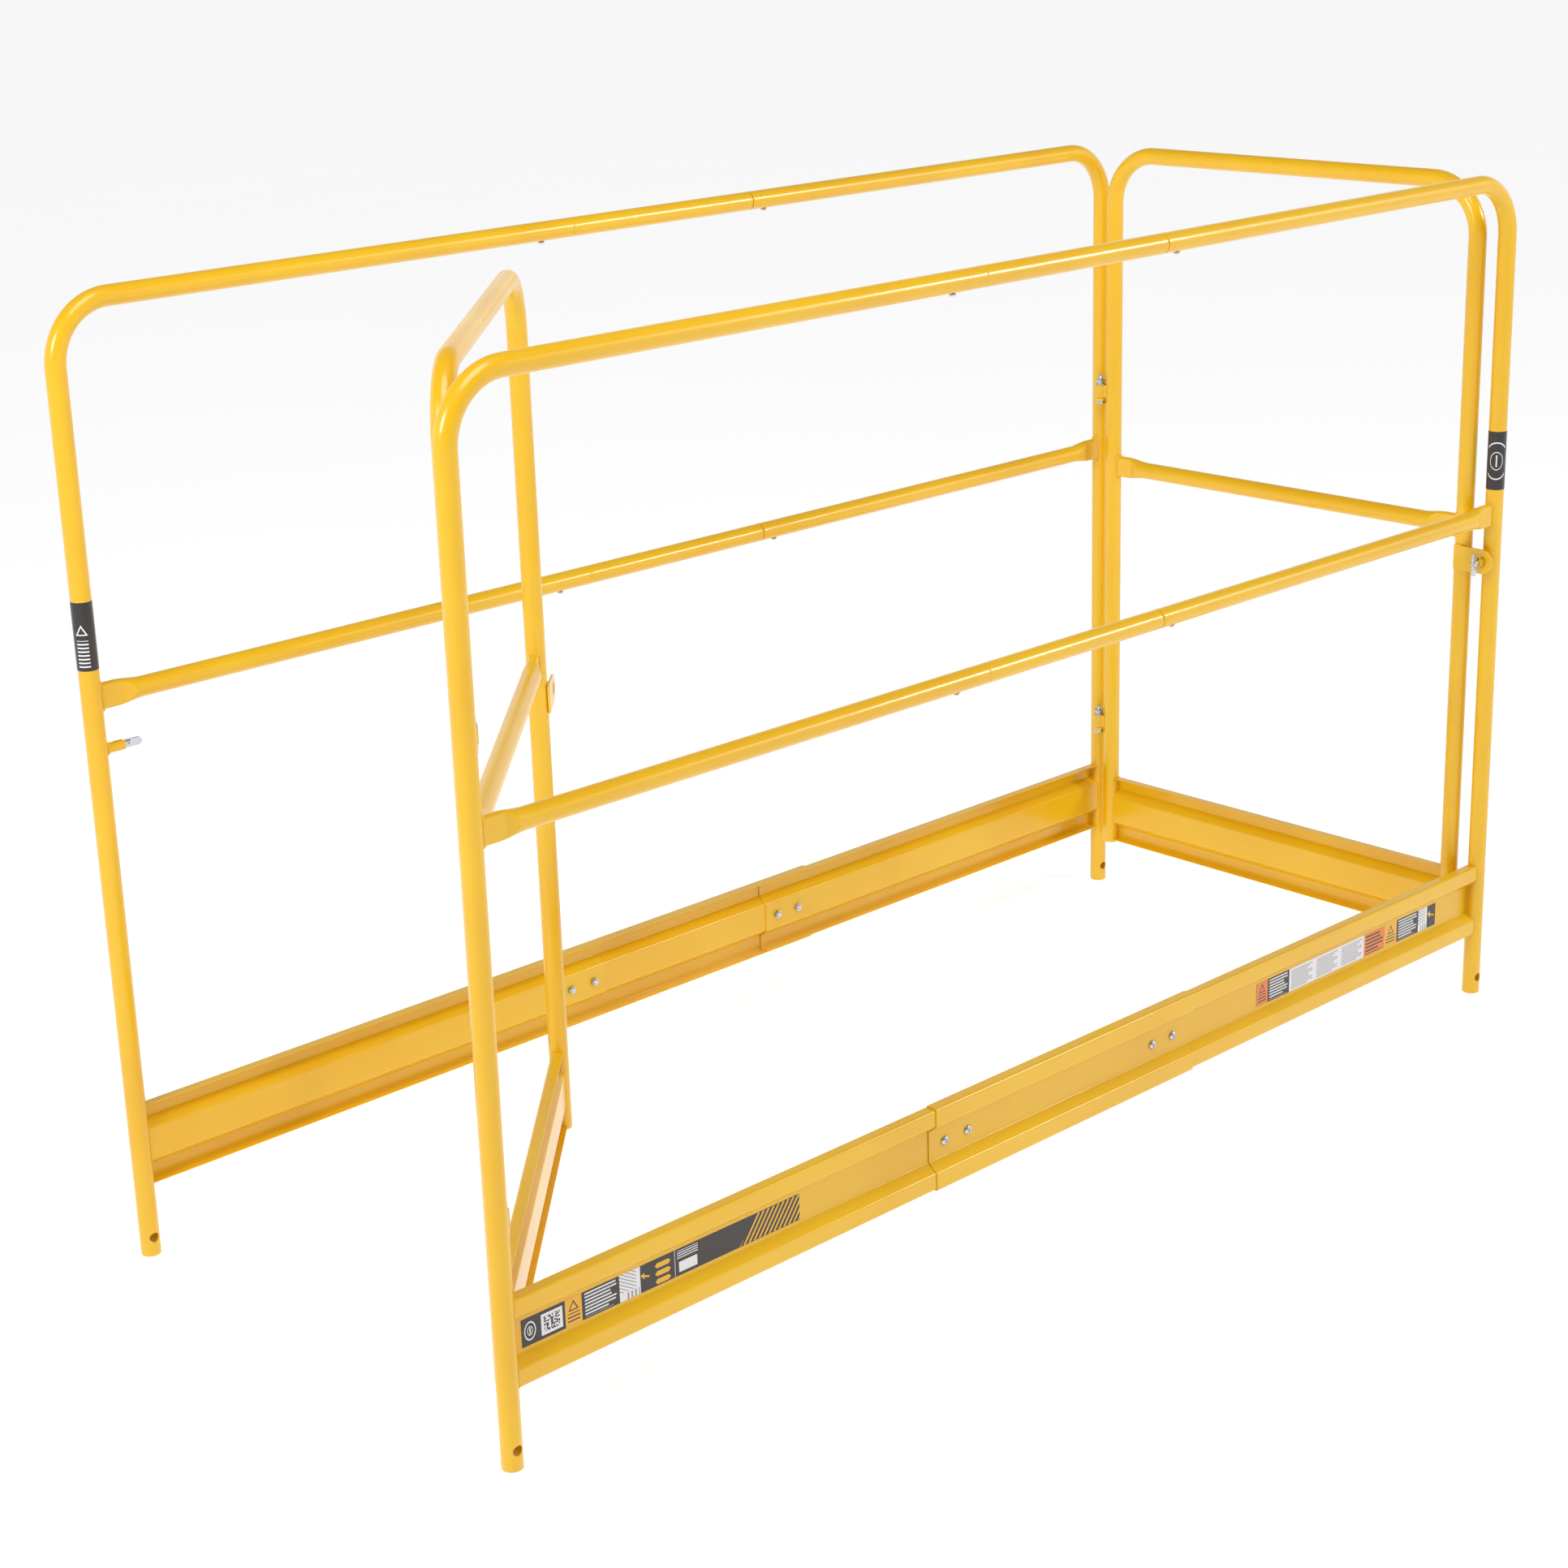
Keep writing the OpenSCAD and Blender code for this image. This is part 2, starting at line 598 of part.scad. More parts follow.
lock_rivet(false);  // right_lock_rivet
flip_tab(true);  // left_flip_tab
flip_tab(false);  // right_flip_tab
gate_hoop(true);  // left_gate_hoop
gate_hoop(false);  // right_gate_hoop
gate_mid_rail(true);  // left_gate_mid_rail
gate_mid_rail(false);  // right_gate_mid_rail
gate_toe_board(true);  // left_gate_toe_board
gate_toe_board(false);  // right_gate_toe_board
hinge_sleeves(true);  // left_hinge_sleeves
hinge_sleeves(false);  // right_hinge_sleeves
latch_plate(true);  // left_latch_plate
latch_plate(false);  // right_latch_plate
toe_label(left_label_from - half_l, left_label_l);  // front_left_toe_label
toe_label(half_l - right_label_from - right_label_l, right_label_l);  // front_right_toe_label
post_label(true, false);  // back_left_post_label
post_label(false, true);  // front_right_post_label
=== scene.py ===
"""Looks of a baker scaffold's guardrail and toe board kit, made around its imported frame.

Drawings are in millimetres and become metres when a piece is made a mesh.
"""
import sys
import json
import logging
import math
from dataclasses import dataclass, field
from enum import Enum
from typing import Sequence

import bmesh
import bpy
import numpy as np
from mathutils import Matrix, Vector


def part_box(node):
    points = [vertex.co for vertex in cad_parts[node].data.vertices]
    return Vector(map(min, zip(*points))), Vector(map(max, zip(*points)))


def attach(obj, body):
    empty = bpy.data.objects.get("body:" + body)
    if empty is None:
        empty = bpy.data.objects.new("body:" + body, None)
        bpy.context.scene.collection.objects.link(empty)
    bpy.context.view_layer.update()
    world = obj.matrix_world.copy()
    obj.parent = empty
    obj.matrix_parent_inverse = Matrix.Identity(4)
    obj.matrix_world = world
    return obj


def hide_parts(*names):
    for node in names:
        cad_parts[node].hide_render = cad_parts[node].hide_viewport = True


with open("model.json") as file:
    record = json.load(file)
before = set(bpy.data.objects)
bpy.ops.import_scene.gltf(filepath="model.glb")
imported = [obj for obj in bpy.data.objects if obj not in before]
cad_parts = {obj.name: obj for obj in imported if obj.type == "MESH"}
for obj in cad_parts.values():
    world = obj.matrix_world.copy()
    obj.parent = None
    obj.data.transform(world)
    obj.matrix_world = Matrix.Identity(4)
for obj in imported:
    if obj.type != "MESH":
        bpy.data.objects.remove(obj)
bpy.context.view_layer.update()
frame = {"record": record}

MM = 0.001
RING = 64                      # points round a tube
SAME_POINT = 3e-6              # points this near, in metres, become one
SHARP = math.radians(40)       # faces that meet at more than this keep their edge
NODE_BODY = {n: b for b, nodes in frame["record"]["behaviour"]["bodies"].items() for n in nodes}
log = logging.getLogger("guardrail")
Array = np.ndarray
Vec = Sequence[float]
Triple = tuple[float, float, float]


# ---- Shapes ----

def unit(v: Array) -> Array:
    """Vectors at length one."""
    return v / np.linalg.norm(v, axis=-1, keepdims=True)


def around(count: int, start: float = 0.0) -> Array:
    """Evenly spaced angles of one full turn."""
    return start + np.arange(count) * (2 * np.pi / count)


def ease(t: Array) -> Array:
    """A step from 0 to 1 that starts and ends level: 3t^2 - 2t^3."""
    t = np.clip(t, 0, 1)
    return t * t * (3 - 2 * t)


def stations(*runs: tuple[float, float, int]) -> Array:
    """Sorted places along a line, from runs of (start, end, count)."""
    return np.unique(np.round(np.concatenate([np.linspace(*run) for run in runs]), 4))


def turned(origin: Vec, axis: Vec, across: Vec, height: Array, radius: Array,
           angle: Array) -> Array:
    """Points about an axis.

    A point is origin + height * axis + radius * (cos t * across + sin t * (across x axis)).

    Args:
        origin: where height is 0.
        axis: unit direction of the axis.
        across: unit direction of angle 0.
        height: heights along the axis.
        radius: distances from the axis.
        angle: angles t. The three fit together as a grid.

    Returns:
        The grid of points.
    """
    axis, across = np.array(axis, float), np.array(across, float)
    flat = np.cos(angle)[..., None] * across + np.sin(angle)[..., None] * np.cross(across, axis)
    return np.array(origin, float) + height[..., None] * axis + radius[..., None] * flat


def revolve(profile: Sequence[tuple[float, float]], origin: Vec, axis: Vec,
            across: Vec, count: int = RING) -> Array:
    """A profile of (height, radius) rows turned round an axis, as a grid of len(profile) rows of count points."""
    height, radius = np.array(profile, float).T[:, :, None]
    return turned(origin, axis, across, height, radius, around(count)[None])


def quads(n: int, m: int, rows: bool = False, columns: bool = True) -> Array:
    """Four-sided faces over n rows of m points; rows and columns say whether the last one joins the first."""
    index = np.arange(n * m).reshape(n, m)
    index = np.vstack([index, index[:1]]) if rows else index
    index = np.hstack([index, index[:, :1]]) if columns else index
    return np.stack([index[:-1, :-1], index[1:, :-1], index[1:, 1:], index[:-1, 1:]], -1).reshape(-1, 4)


@dataclass(frozen=True)
class Place:
    """Where a drawing's three axes and its origin stand in the object's frame."""

    first: Triple
    second: Triple
    origin: Triple

    def put(self, points: Array) -> Array:
        """A drawing's points in the object's frame; the third axis is always up."""
        return np.array(self.origin) + points @ np.array([self.first, self.second, (0.0, 0.0, 1.0)])


@dataclass(frozen=True)
class Route:
    """A flat line of straight runs joined by round bends of one radius."""

    corners: tuple[Triple, ...]
    radius: float

    def runs(self) -> list[tuple[float, Array, Array, Array, bool]]:
        """The pieces of the line: (length, start, direction, inward normal, is a bend)."""
        c = np.array(self.corners, float)
        d = unit(np.diff(c, axis=0))
        size = np.linalg.norm(np.diff(c, axis=0), axis=1)
        out = []
        for i in range(len(d)):
            before, after = (self.radius if i else 0.0), (self.radius if i < len(d) - 1 else 0.0)
            start = c[i] + d[i] * before
            out.append((size[i] - before - after, start, d[i], d[i], False))
            if after:
                out.append((self.radius * np.pi / 2, c[i + 1] - d[i] * self.radius, d[i], d[i + 1], True))
        return out

    @property
    def length(self) -> float:
        """The whole line's length."""
        return float(sum(run[0] for run in self.runs()))

    def bends(self) -> list[tuple[float, float]]:
        """Start and end of each bend, measured along the line."""
        ends = np.cumsum([run[0] for run in self.runs()])
        return [(ends[i] - run[0], ends[i]) for i, run in enumerate(self.runs()) if run[4]]

    def at(self, s: Array) -> tuple[Array, Array, Array]:
        """Points, directions and how far into a bend, at lengths s.

        A straight run is start + s * direction. A bend is start + r sin a * direction + r (1 - cos a) * normal,
        with a = s / r, and its depth is sin(2a)^2 eased, which is 0 at its ends.

        Args:
            s: lengths along the line.

        Returns:
            Points (n, 3), unit directions (n, 3) and bend depth (n,).
        """
        points, ways, depth = np.zeros((len(s), 3)), np.zeros((len(s), 3)), np.zeros(len(s))
        begin = 0.0
        for size, start, way, normal, bend in self.runs():
            here = (s >= begin - 1e-6) & (s <= begin + size + 1e-6)
            along = (s[here] - begin)[:, None]
            if bend:
                a = along / self.radius
                points[here] = start + self.radius * (np.sin(a) * way + (1 - np.cos(a)) * normal)
                ways[here] = np.cos(a) * way + np.sin(a) * normal
                depth[here] = np.sin(2 * a[:, 0]) ** 2
            else:
                points[here], ways[here] = start + along * way, way
            begin += size
        return points, ways, depth


def carry(points: Array, ways: Array, across: Vec, section: Array) -> Array:
    """A section carried along a flat line.

    A point is line point + first * across + second * (across x direction).

    Args:
        points: the line's points (n, 3).
        ways: its unit directions (n, 3).
        across: unit normal of the line's plane.
        section: (n, m, 2), or (m, 2) where it never changes.

    Returns:
        A grid (n, m, 3).
    """
    across = np.array(across, float)
    section = np.broadcast_to(section, (len(points),) + section.shape[-2:])
    up = np.cross(across, ways)
    return points[:, None] + section[..., :1] * across + section[..., 1:] * up[:, None]


def holed_half(outer: float, bore: float, hole: float, hole_z: float, top: float, rim: float, side: int) -> Array:
    """Half of a tube's wall with a round hole through it, from its foot up to a height.

    Each row runs once round the hole. It blends, in angle and height, from the hole's edge to the edge of the
    half wall, on the outside, then through the wall, and back again on the bore.

    Args:
        outer: outer radius.
        bore: bore radius.
        hole: radius of the hole.
        hole_z: height of the hole's centre.
        top: height where the wall goes on as a plain tube.
        rim: how much of the foot's edge is rounded.
        side: 1 for the half towards the second axis, -1 for the other.

    Returns:
        A grid whose rows are closed.
    """
    half, edge = RING // 2, 12
    t = np.linspace(-np.pi / 2, np.pi / 2, half + 1)
    angle = np.concatenate([t[:-1], np.full(edge, np.pi / 2), t[:0:-1], np.full(edge, -np.pi / 2)])
    up = np.linspace(0, 1, edge + 1)
    share = np.concatenate([np.zeros(half), up[:-1], np.ones(half), up[:0:-1]])
    phi = np.arctan2(share * 2 - 1, angle / (np.pi / 2))

    def rows(radius: float, foot: float, size: float, steps: Array) -> Array:
        """Rows on one radius, blended from the hole's edge (0) to the half wall's edge (1)."""
        near = np.arcsin(size * np.cos(phi) / radius)
        near_z = hole_z + size * np.sin(phi)
        w = steps[:, None]
        a, z = near + (angle - near) * w, near_z + (foot + (top - foot) * share - near_z) * w
        return np.stack([radius * np.sin(a), side * radius * np.cos(a), z], -1)

    out = np.linspace(1, 0, 8)
    return np.concatenate([rows(outer, rim, hole + 0.5, out), rows(outer - 0.4, rim, hole, np.zeros(1)),
                           rows(bore, rim, hole, np.linspace(0, 1, 6))])


def folded(points: Sequence[tuple[float, float]], shift: float, radius: float, steps: int = 6) -> tuple[Array, Array]:
    """A bent sheet's middle line, with round folds.

    The line is first moved sideways by shift with mitred corners. Each corner then becomes an arc that starts at
    corner - radius * tan(turn / 2) * direction and turns evenly, with one more point on the flat beside each end.

    Args:
        points: corners of the line.
        shift: how far it is moved to its left.
        radius: radius of the folds at the middle line.
        steps: points on each fold.

    Returns:
        The line's points and its left normals.
    """
    p = np.array(points, float)
    d = unit(np.diff(p, axis=0))
    left = np.stack([-d[:, 1], d[:, 0]], 1)
    a, b = np.vstack([left[:1], left]), np.vstack([left, left[-1:]])
    mitre = unit(a + b)
    p = p + mitre * shift / (mitre * a).sum(1, keepdims=True)
    turn = np.arctan2(d[:-1, 0] * d[1:, 1] - d[:-1, 1] * d[1:, 0], (d[:-1] * d[1:]).sum(1))
    start = p[1:-1] - d[:-1] * (radius * np.tan(np.abs(turn) / 2))[:, None]
    a = turn[:, None] * np.linspace(0, 1, steps)
    c, s = np.cos(a), np.sin(a)
    way = np.stack([d[:-1, :1] * c - d[:-1, 1:] * s, d[:-1, :1] * s + d[:-1, 1:] * c], -1)
    normal = np.stack([-way[..., 1], way[..., 0]], -1)
    side = np.sign(turn)[:, None, None] * radius
    arc = start[:, None] + side * left[:-1, None] - side * normal
    arc = np.concatenate([arc[:, :1] - d[:-1, None] * 0.9, arc, arc[:, -1:] + d[1:, None] * 0.9], 1).reshape(-1, 2)
    normal = np.concatenate([normal[:, :1], normal, normal[:, -1:]], 1).reshape(-1, 2)
    return (np.vstack([p[:1], arc, p[-1:]]), np.vstack([left[:1], normal, left[-1:]]))


def plate_rows(thick: float, bevel: float, hole: float, reach: Array, centre: Vec,
               first: Vec, second: Vec) -> Array:
    """A flat plate with a round hole, drawn round the hole.

    At each angle the plate's edge lies reach from the hole's centre, and both its edges are bevelled.

    Args:
        thick: thickness of the plate.
        bevel: size of the bevels.
        hole: radius of the hole.
        reach: distance from the hole's centre to the plate's edge, at even angles.
        centre: the hole's centre on the plate's first face.
        first: direction of angle 0.
        second: direction of a quarter turn.

    Returns:
        A grid closed both ways.
    """
    first, second = np.array(first, float), np.array(second, float)
    normal = np.cross(first, second)
    t = around(len(reach))[:, None]
    way = np.cos(t) * first + np.sin(t) * second
    small = np.full(len(reach), hole)
    rows = [(small + bevel, 0), (reach - bevel, 0), (reach, bevel), (reach, thick - bevel), (reach - bevel, thick),
            (small + bevel, thick), (small, thick - bevel), (small, bevel)]
    return np.stack([np.array(centre, float) + r[:, None] * way + h * normal for r, h in rows])


class Shell:
    """The surfaces of one piece. They share their edges, and become one closed mesh."""

    def __init__(self) -> None:
        """Starts with no surface."""
        self.points: list[Array] = []
        self.faces: list[Array] = []
        self.wear: list[Array] = []
        self.count = 0

    def grid(self, points: Array, rows: bool = False, columns: bool = True, wear: float | Array = 0.0) -> None:
        """Adds a surface that runs over a grid of points.

        Args:
            points: (n, m, 3).
            rows: whether the last row joins the first.
            columns: whether the last column joins the first.
            wear: how worn the surface is, 0 to 1, for the whole grid or each point.
        """
        n, m = points.shape[:2]
        self.points.append(points.reshape(-1, 3))
        self.faces.append(self.count + quads(n, m, rows, columns))
        self.wear.append(np.broadcast_to(wear, (n, m)).reshape(-1))
        self.count += n * m

    def cap(self, ring: Array) -> None:
        """Closes a ring with faces that meet at its middle."""
        self.grid(np.stack([ring, np.broadcast_to(ring.mean(0), ring.shape)]))

    def solid(self, rows: Array, wear: float | Array = 0.0) -> None:
        """Adds a grid and closes its first and last row."""
        self.grid(rows, wear=wear)
        self.cap(rows[0])
        self.cap(rows[-1])

    def end(self, point: Array, way: Array, across: Vec, outer: float, bore: float, deep: float) -> None:
        """A tube's open end, with rounded edges and a bore that is closed out of sight.

        Args:
            point: middle of the end.
            way: direction in which the tube goes on from its end.
            across: unit normal of the tube's plane.
            outer: outer radius.
            bore: bore radius.
            deep: depth of the bore.
        """
        profile = [(1.6, outer), (0.5, outer), (0.15, outer - 0.12), (0, outer - 0.5), (0, bore + 0.3), (0.3, bore)]
        rows = revolve(profile + [(deep, bore)], point, way, across)
        self.grid(rows, wear=np.array([0, 0.2, 0.5, 0.7, 0.5, 0.2, 0])[:, None])
        self.cap(rows[-1])

    def make(self, name: str, place: Place, finish: "Finish", nodes: Sequence[str] = (), body: str = "") -> None:
        """Makes the piece, dresses it and ties it to its body.

        Args:
            name: the piece's name.
            place: where its drawing stands.
            finish: what it is covered with.
            nodes: the CAD nodes that it stands for.
            body: the body that it rides on, where it stands for no node.
        """
        points = place.put(np.concatenate(self.points)) * MM
        faces = np.concatenate(self.faces)
        mesh = bpy.data.meshes.new(name)
        mesh.vertices.add(len(points))
        mesh.vertices.foreach_set("co", points.astype(np.float32).ravel())
        mesh.loops.add(faces.size)
        mesh.loops.foreach_set("vertex_index", faces.astype(np.int32).ravel())
        mesh.polygons.add(len(faces))
        mesh.polygons.foreach_set("loop_start", np.arange(0, faces.size, 4, dtype=np.int32))
        layer = mesh.attributes.new("wear", "FLOAT", "POINT")
        layer.data.foreach_set("value", np.concatenate(self.wear).astype(np.float32))
        mesh.update(calc_edges=True)
        solid = bmesh.new()
        solid.from_mesh(mesh)
        bmesh.ops.remove_doubles(solid, verts=solid.verts, dist=SAME_POINT)
        bmesh.ops.recalc_face_normals(solid, faces=solid.faces)
        open_edges = sum(not e.is_manifold for e in solid.edges)
        solid.to_mesh(mesh)
        solid.free()
        mesh.shade_smooth()
        mesh.set_sharp_from_angle(angle=SHARP)
        mesh.materials.append(finish.material())
        piece = bpy.data.objects.new(name, mesh)
        bpy.context.scene.collection.objects.link(piece)
        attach(piece, NODE_BODY[nodes[0]] if nodes else body)
        off = ""
        if nodes:
            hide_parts(*nodes)
            boxes = np.array([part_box(n) for n in nodes])
            low, high = boxes[:, 0].min(0), boxes[:, 1].max(0)
            worst = max(np.abs(points.min(0) - low).max(), np.abs(points.max(0) - high).max())
            off = f", {worst / MM:.2f} mm off its nodes"
        log.info("%s: %d faces%s%s", name, len(mesh.polygons), off, f", {open_edges} open edges" if open_edges else "")


def bead(path: Array, middle: Vec, radius: float, closed: bool, pitch: float = 2.1) -> Array:
    """A weld bead: a small round section along a line, swelling and shrinking with each laid ripple.

    Its radius is radius * (1 + 0.13 sin(2 pi s / pitch)), and an open bead narrows to a point at its ends.

    Args:
        path: the line's points.
        middle: a point that the bead curves round, which sets its section's first axis.
        radius: radius of the bead.
        closed: whether the line's end meets its start.
        pitch: length of one ripple.

    Returns:
        A grid whose columns are closed.
    """
    steps = np.linalg.norm(np.diff(np.vstack([path, path[:1]]) if closed else path, axis=0), axis=1)
    length = steps.sum()
    count = max(12, int(length / 0.45))
    known = np.concatenate([[0], np.cumsum(steps)])
    line = np.vstack([path, path[:1]]) if closed else path
    s = np.linspace(0, length, count, endpoint=not closed)
    p = np.stack([np.interp(s, known, line[:, k]) for k in range(3)], 1)
    way = (np.roll(p, -1, 0) - np.roll(p, 1, 0)) if closed else np.gradient(p, axis=0)
    way = unit(way)
    out = p - np.array(middle, float)
    out = unit(out - (out * way).sum(1, keepdims=True) * way)
    ripples = max(1, round(length / pitch))
    size = radius * (1 + 0.13 * np.sin(2 * np.pi * ripples * s / length) + 0.05 * np.sin(7.3 * s / length * np.pi * 2))
    if not closed:
        size = size * np.sqrt(np.clip(1 - np.abs(2 * s / length - 1) ** 14, 0, 1))
    t = around(10)[None, :, None]
    return p[:, None] + size[:, None, None] * (np.cos(t) * out[:, None] + np.sin(t) * np.cross(out, way)[:, None])


# ---- Finishes ----

class Value:
    """A number that changes over a surface. Arithmetic on it adds Math nodes."""

    def __init__(self, tree: "Tree", socket: bpy.types.NodeSocket) -> None:
        """Wraps an output socket."""
        self.tree, self.socket = tree, socket

    def made(self, operation: str, *values: "Value | float") -> "Value":
        """A Math node of these values."""
        node = self.tree.node("ShaderNodeMath", {"operation": operation}, dict(enumerate(values)))
        return Value(self.tree, node[0])

    def math(self, operation: str, *others: "Value | float") -> "Value":
        """A Math node of this value and others."""
        return self.made(operation, self, *others)

    def __add__(self, other: "Value | float") -> "Value":
        """Sum."""
        return self.math("ADD", other)

    __radd__ = __add__

    def __mul__(self, other: "Value | float") -> "Value":
        """Product."""
        return self.math("MULTIPLY", other)

    __rmul__ = __mul__

    def __sub__(self, other: "Value | float") -> "Value":
        """Difference."""
        return self.math("SUBTRACT", other)

    def __rsub__(self, other: float) -> "Value":
        """Difference from a number."""
        return self.made("SUBTRACT", other, self)

    def __truediv__(self, other: "Value | float") -> "Value":
        """Quotient."""
        return self.math("DIVIDE", other)

    def __gt__(self, other: "Value | float") -> "Value":
        """1 where this is greater, else 0."""
        return self.math("GREATER_THAN", other)

    def __lt__(self, other: "Value | float") -> "Value":
        """1 where this is less, else 0."""
        return self.math("LESS_THAN", other)

    def between(self, low: float, high: float) -> "Value":
        """1 from low to high, else 0."""
        return (self > low) * (self < high)

    def step(self, low: float, high: float) -> "Value":
        """Eases from 0 at low to 1 at high."""
        node = self.tree.node("ShaderNodeMapRange", {"interpolation_type": "SMOOTHSTEP"},
                              {"Value": self, "From Min": low, "From Max": high})
        return Value(self.tree, node[0])

    def repeat(self, length: float) -> "Value":
        """The remainder after whole lengths."""
        return self.math("FLOORED_MODULO", length)

    def size(self) -> "Value":
        """Its size without its sign."""
        return self.math("ABSOLUTE")


class Tree:
    """A node tree, built by expressions."""

    def __init__(self, tree: bpy.types.NodeTree) -> None:
        """Wraps a tree."""
        self.tree = tree

    def node(self, kind: str, settings: dict, inputs: dict) -> bpy.types.bpy_prop_collection:
        """Adds a node.

        Args:
            kind: the node's type.
            settings: its properties, set first.
            inputs: socket name or number to a value, a Value or an output socket.

        Returns:
            The node's outputs.
        """
        made = self.tree.nodes.new(kind)
        for key, value in settings.items():
            setattr(made, key, value)
        for key, value in inputs.items():
            self.feed(made.inputs[key], value)
        return made.outputs

    def feed(self, socket: bpy.types.NodeSocket, value: object) -> None:
        """Sets or links one input socket."""
        if isinstance(value, Value):
            self.tree.links.new(value.socket, socket)
        elif isinstance(value, bpy.types.NodeSocket):
            self.tree.links.new(value, socket)
        else:
            socket.default_value = value


class Shader(Tree):
    """A material's node tree."""

    def __init__(self, name: str) -> None:
        """Starts a material with a Principled shader and its output."""
        self.material = bpy.data.materials.new(name)
        self.material.use_nodes = True
        super().__init__(self.material.node_tree)
        self.tree.nodes.clear()
        self.surface = self.tree.nodes.new("ShaderNodeBsdfPrincipled")
        self.node("ShaderNodeOutputMaterial", {}, {0: self.surface.outputs[0]})

    def place(self) -> bpy.types.NodeSocket:
        """Object coordinates, in metres."""
        return self.node("ShaderNodeTexCoord", {}, {})["Object"]

    def axes(self) -> tuple[Value, Value, Value]:
        """The three object coordinates, in millimetres."""
        parts = self.node("ShaderNodeSeparateXYZ", {}, {0: self.place()})
        return tuple(Value(self, parts[i]) / MM for i in range(3))

    def noise(self, scale: float, detail: float = 2.0, rough: float = 0.5) -> Value:
        """Smooth noise, 0 to 1, this many lumps to a metre."""
        node = self.node("ShaderNodeTexNoise", {},
                         {"Vector": self.place(), "Scale": scale, "Detail": detail, "Roughness": rough})
        return Value(self, node[0])

    def worn(self) -> Value:
        """The piece's own wear attribute."""
        return Value(self, self.node("ShaderNodeAttribute", {"attribute_name": "wear"}, {})["Fac"])

    def blend(self, share: Value, low: object, high: object) -> bpy.types.NodeSocket:
        """A colour that runs from low to high."""
        return self.node("ShaderNodeMix", {"data_type": "RGBA"}, {0: share, 6: low, 7: high})[2]

    def bump(self, height: Value, distance: float, strength: float) -> bpy.types.NodeSocket:
        """A normal from a height, which is distance metres at 1."""
        return self.node("ShaderNodeBump", {}, {"Height": height, "Distance": distance, "Strength": strength})[0]

    def done(self, **inputs: object) -> bpy.types.Material:
        """Feeds the shader's sockets, whose names' spaces are written as underscores."""
        for key, value in inputs.items():
            self.feed(self.surface.inputs[key.replace("_", " ")], value)
        return self.material


def shade(red: float, green: float, blue: float) -> tuple[float, float, float, float]:
    """A screen colour (0 to 255) as a linear one."""
    c = np.array([red, green, blue]) / 255
    return tuple(float(v) for v in np.where(c <= 0.04045, c / 12.92, ((c + 0.055) / 1.055) ** 2.4)) + (1.0,)


@dataclass(frozen=True)
class Finish:
    """What covers a piece. A finish's material is made once."""

    name: str
    slot: str

    def material(self) -> bpy.types.Material:
        """The finish's material."""
        return bpy.data.materials.get(self.name) or self.paint(Shader(self.name))

    def paint(self, shader: Shader) -> bpy.types.Material:
        """Builds the material's nodes."""
        raise NotImplementedError


@dataclass(frozen=True)
class PowderCoat(Finish):
    """Glossy baked powder over steel: fine orange peel, slow drifts of tone, dull scuffs where it is handled."""

    name: str = "powder_coat"
    slot: str = "yellow_paint"
    colour: tuple[float, ...] = shade(236, 186, 12)
    deep: tuple[float, ...] = shade(230, 176, 6)
    scuffed: tuple[float, ...] = shade(190, 146, 50)
    peel: float = 0.5
    coarse: float = 0.0

    def paint(self, shader: Shader) -> bpy.types.Material:
        """Builds the material's nodes."""
        drift = shader.noise(5.0, 3.0)
        fine = shader.noise(1400.0, 1.0)
        ripple = shader.noise(420.0, 2.0)
        flecks = shader.noise(900.0, 4.0, 0.7)
        worn = (shader.worn() * (flecks * 1.4)).step(0.42, 0.8)
        colour = shader.blend(drift.step(0.3, 0.75), self.colour, self.deep)
        colour = shader.blend(worn, colour, self.scuffed)
        height = ripple * 0.75 + fine * 0.25
        if self.coarse:
            height = height + shader.noise(260.0, 2.0) * self.coarse
        return shader.done(
            Base_Color=colour, Roughness=0.24 + drift * 0.07 + flecks * 0.04 + worn * 0.3,
            Coat_Weight=0.35 - worn * 0.3, Coat_Roughness=0.06, IOR=1.5,
            Normal=shader.bump(height - worn * 0.5, 0.00012, self.peel))


@dataclass(frozen=True)
class ZincPlate(Finish):
    """Bright zinc plate: silver with a bluish cast, faint drawn lines and a mottled gloss."""

    name: str = "zinc_plate"
    slot: str = "zinc"
    colour: tuple[float, ...] = shade(214, 218, 226)
    cast: tuple[float, ...] = shade(190, 198, 214)
    dull: tuple[float, ...] = shade(150, 148, 142)

    def paint(self, shader: Shader) -> bpy.types.Material:
        """Builds the material's nodes."""
        mottle = shader.noise(700.0, 3.0)
        grain = shader.noise(2600.0, 2.0)
        worn = (shader.worn() * mottle * 1.6).step(0.4, 0.9)
        colour = shader.blend(mottle.step(0.3, 0.7), self.colour, self.cast)
        return shader.done(
            Base_Color=shader.blend(worn, colour, self.dull), Metallic=1.0,
            Roughness=0.2 + mottle * 0.16 + worn * 0.2, Normal=shader.bump(grain, 0.00004, 0.5))


class Motif(Enum):
    """What is printed on one block of a label. None of it is lettering."""

    PLAIN = "plain"
    LINES = "lines"
    SHORT_LINES = "short lines"
    SMALL_PRINT = "small print"
    TRIANGLE = "triangle"
    STRIPES = "stripes"
    PICTURE = "picture"
    ARROW = "arrow"
    PILLS = "pills"
    TILE = "tile"
    HAND = "hand"
    FRAMED = "framed"


class Ink(Enum):
    """A label's printed colours."""

    BLACK = shade(40, 34, 33)
    WHITE = shade(232, 233, 238)
    YELLOW = shade(238, 178, 26)
    ORANGE = shade(232, 128, 44)
    GREY = shade(150, 152, 158)


@dataclass(frozen=True)
class Block:
    """One block of a label: its width in millimetres, its ground, its ink and what is printed."""

    width: float
    ground: Ink
    ink: Ink = Ink.WHITE
    motif: Motif = Motif.PLAIN


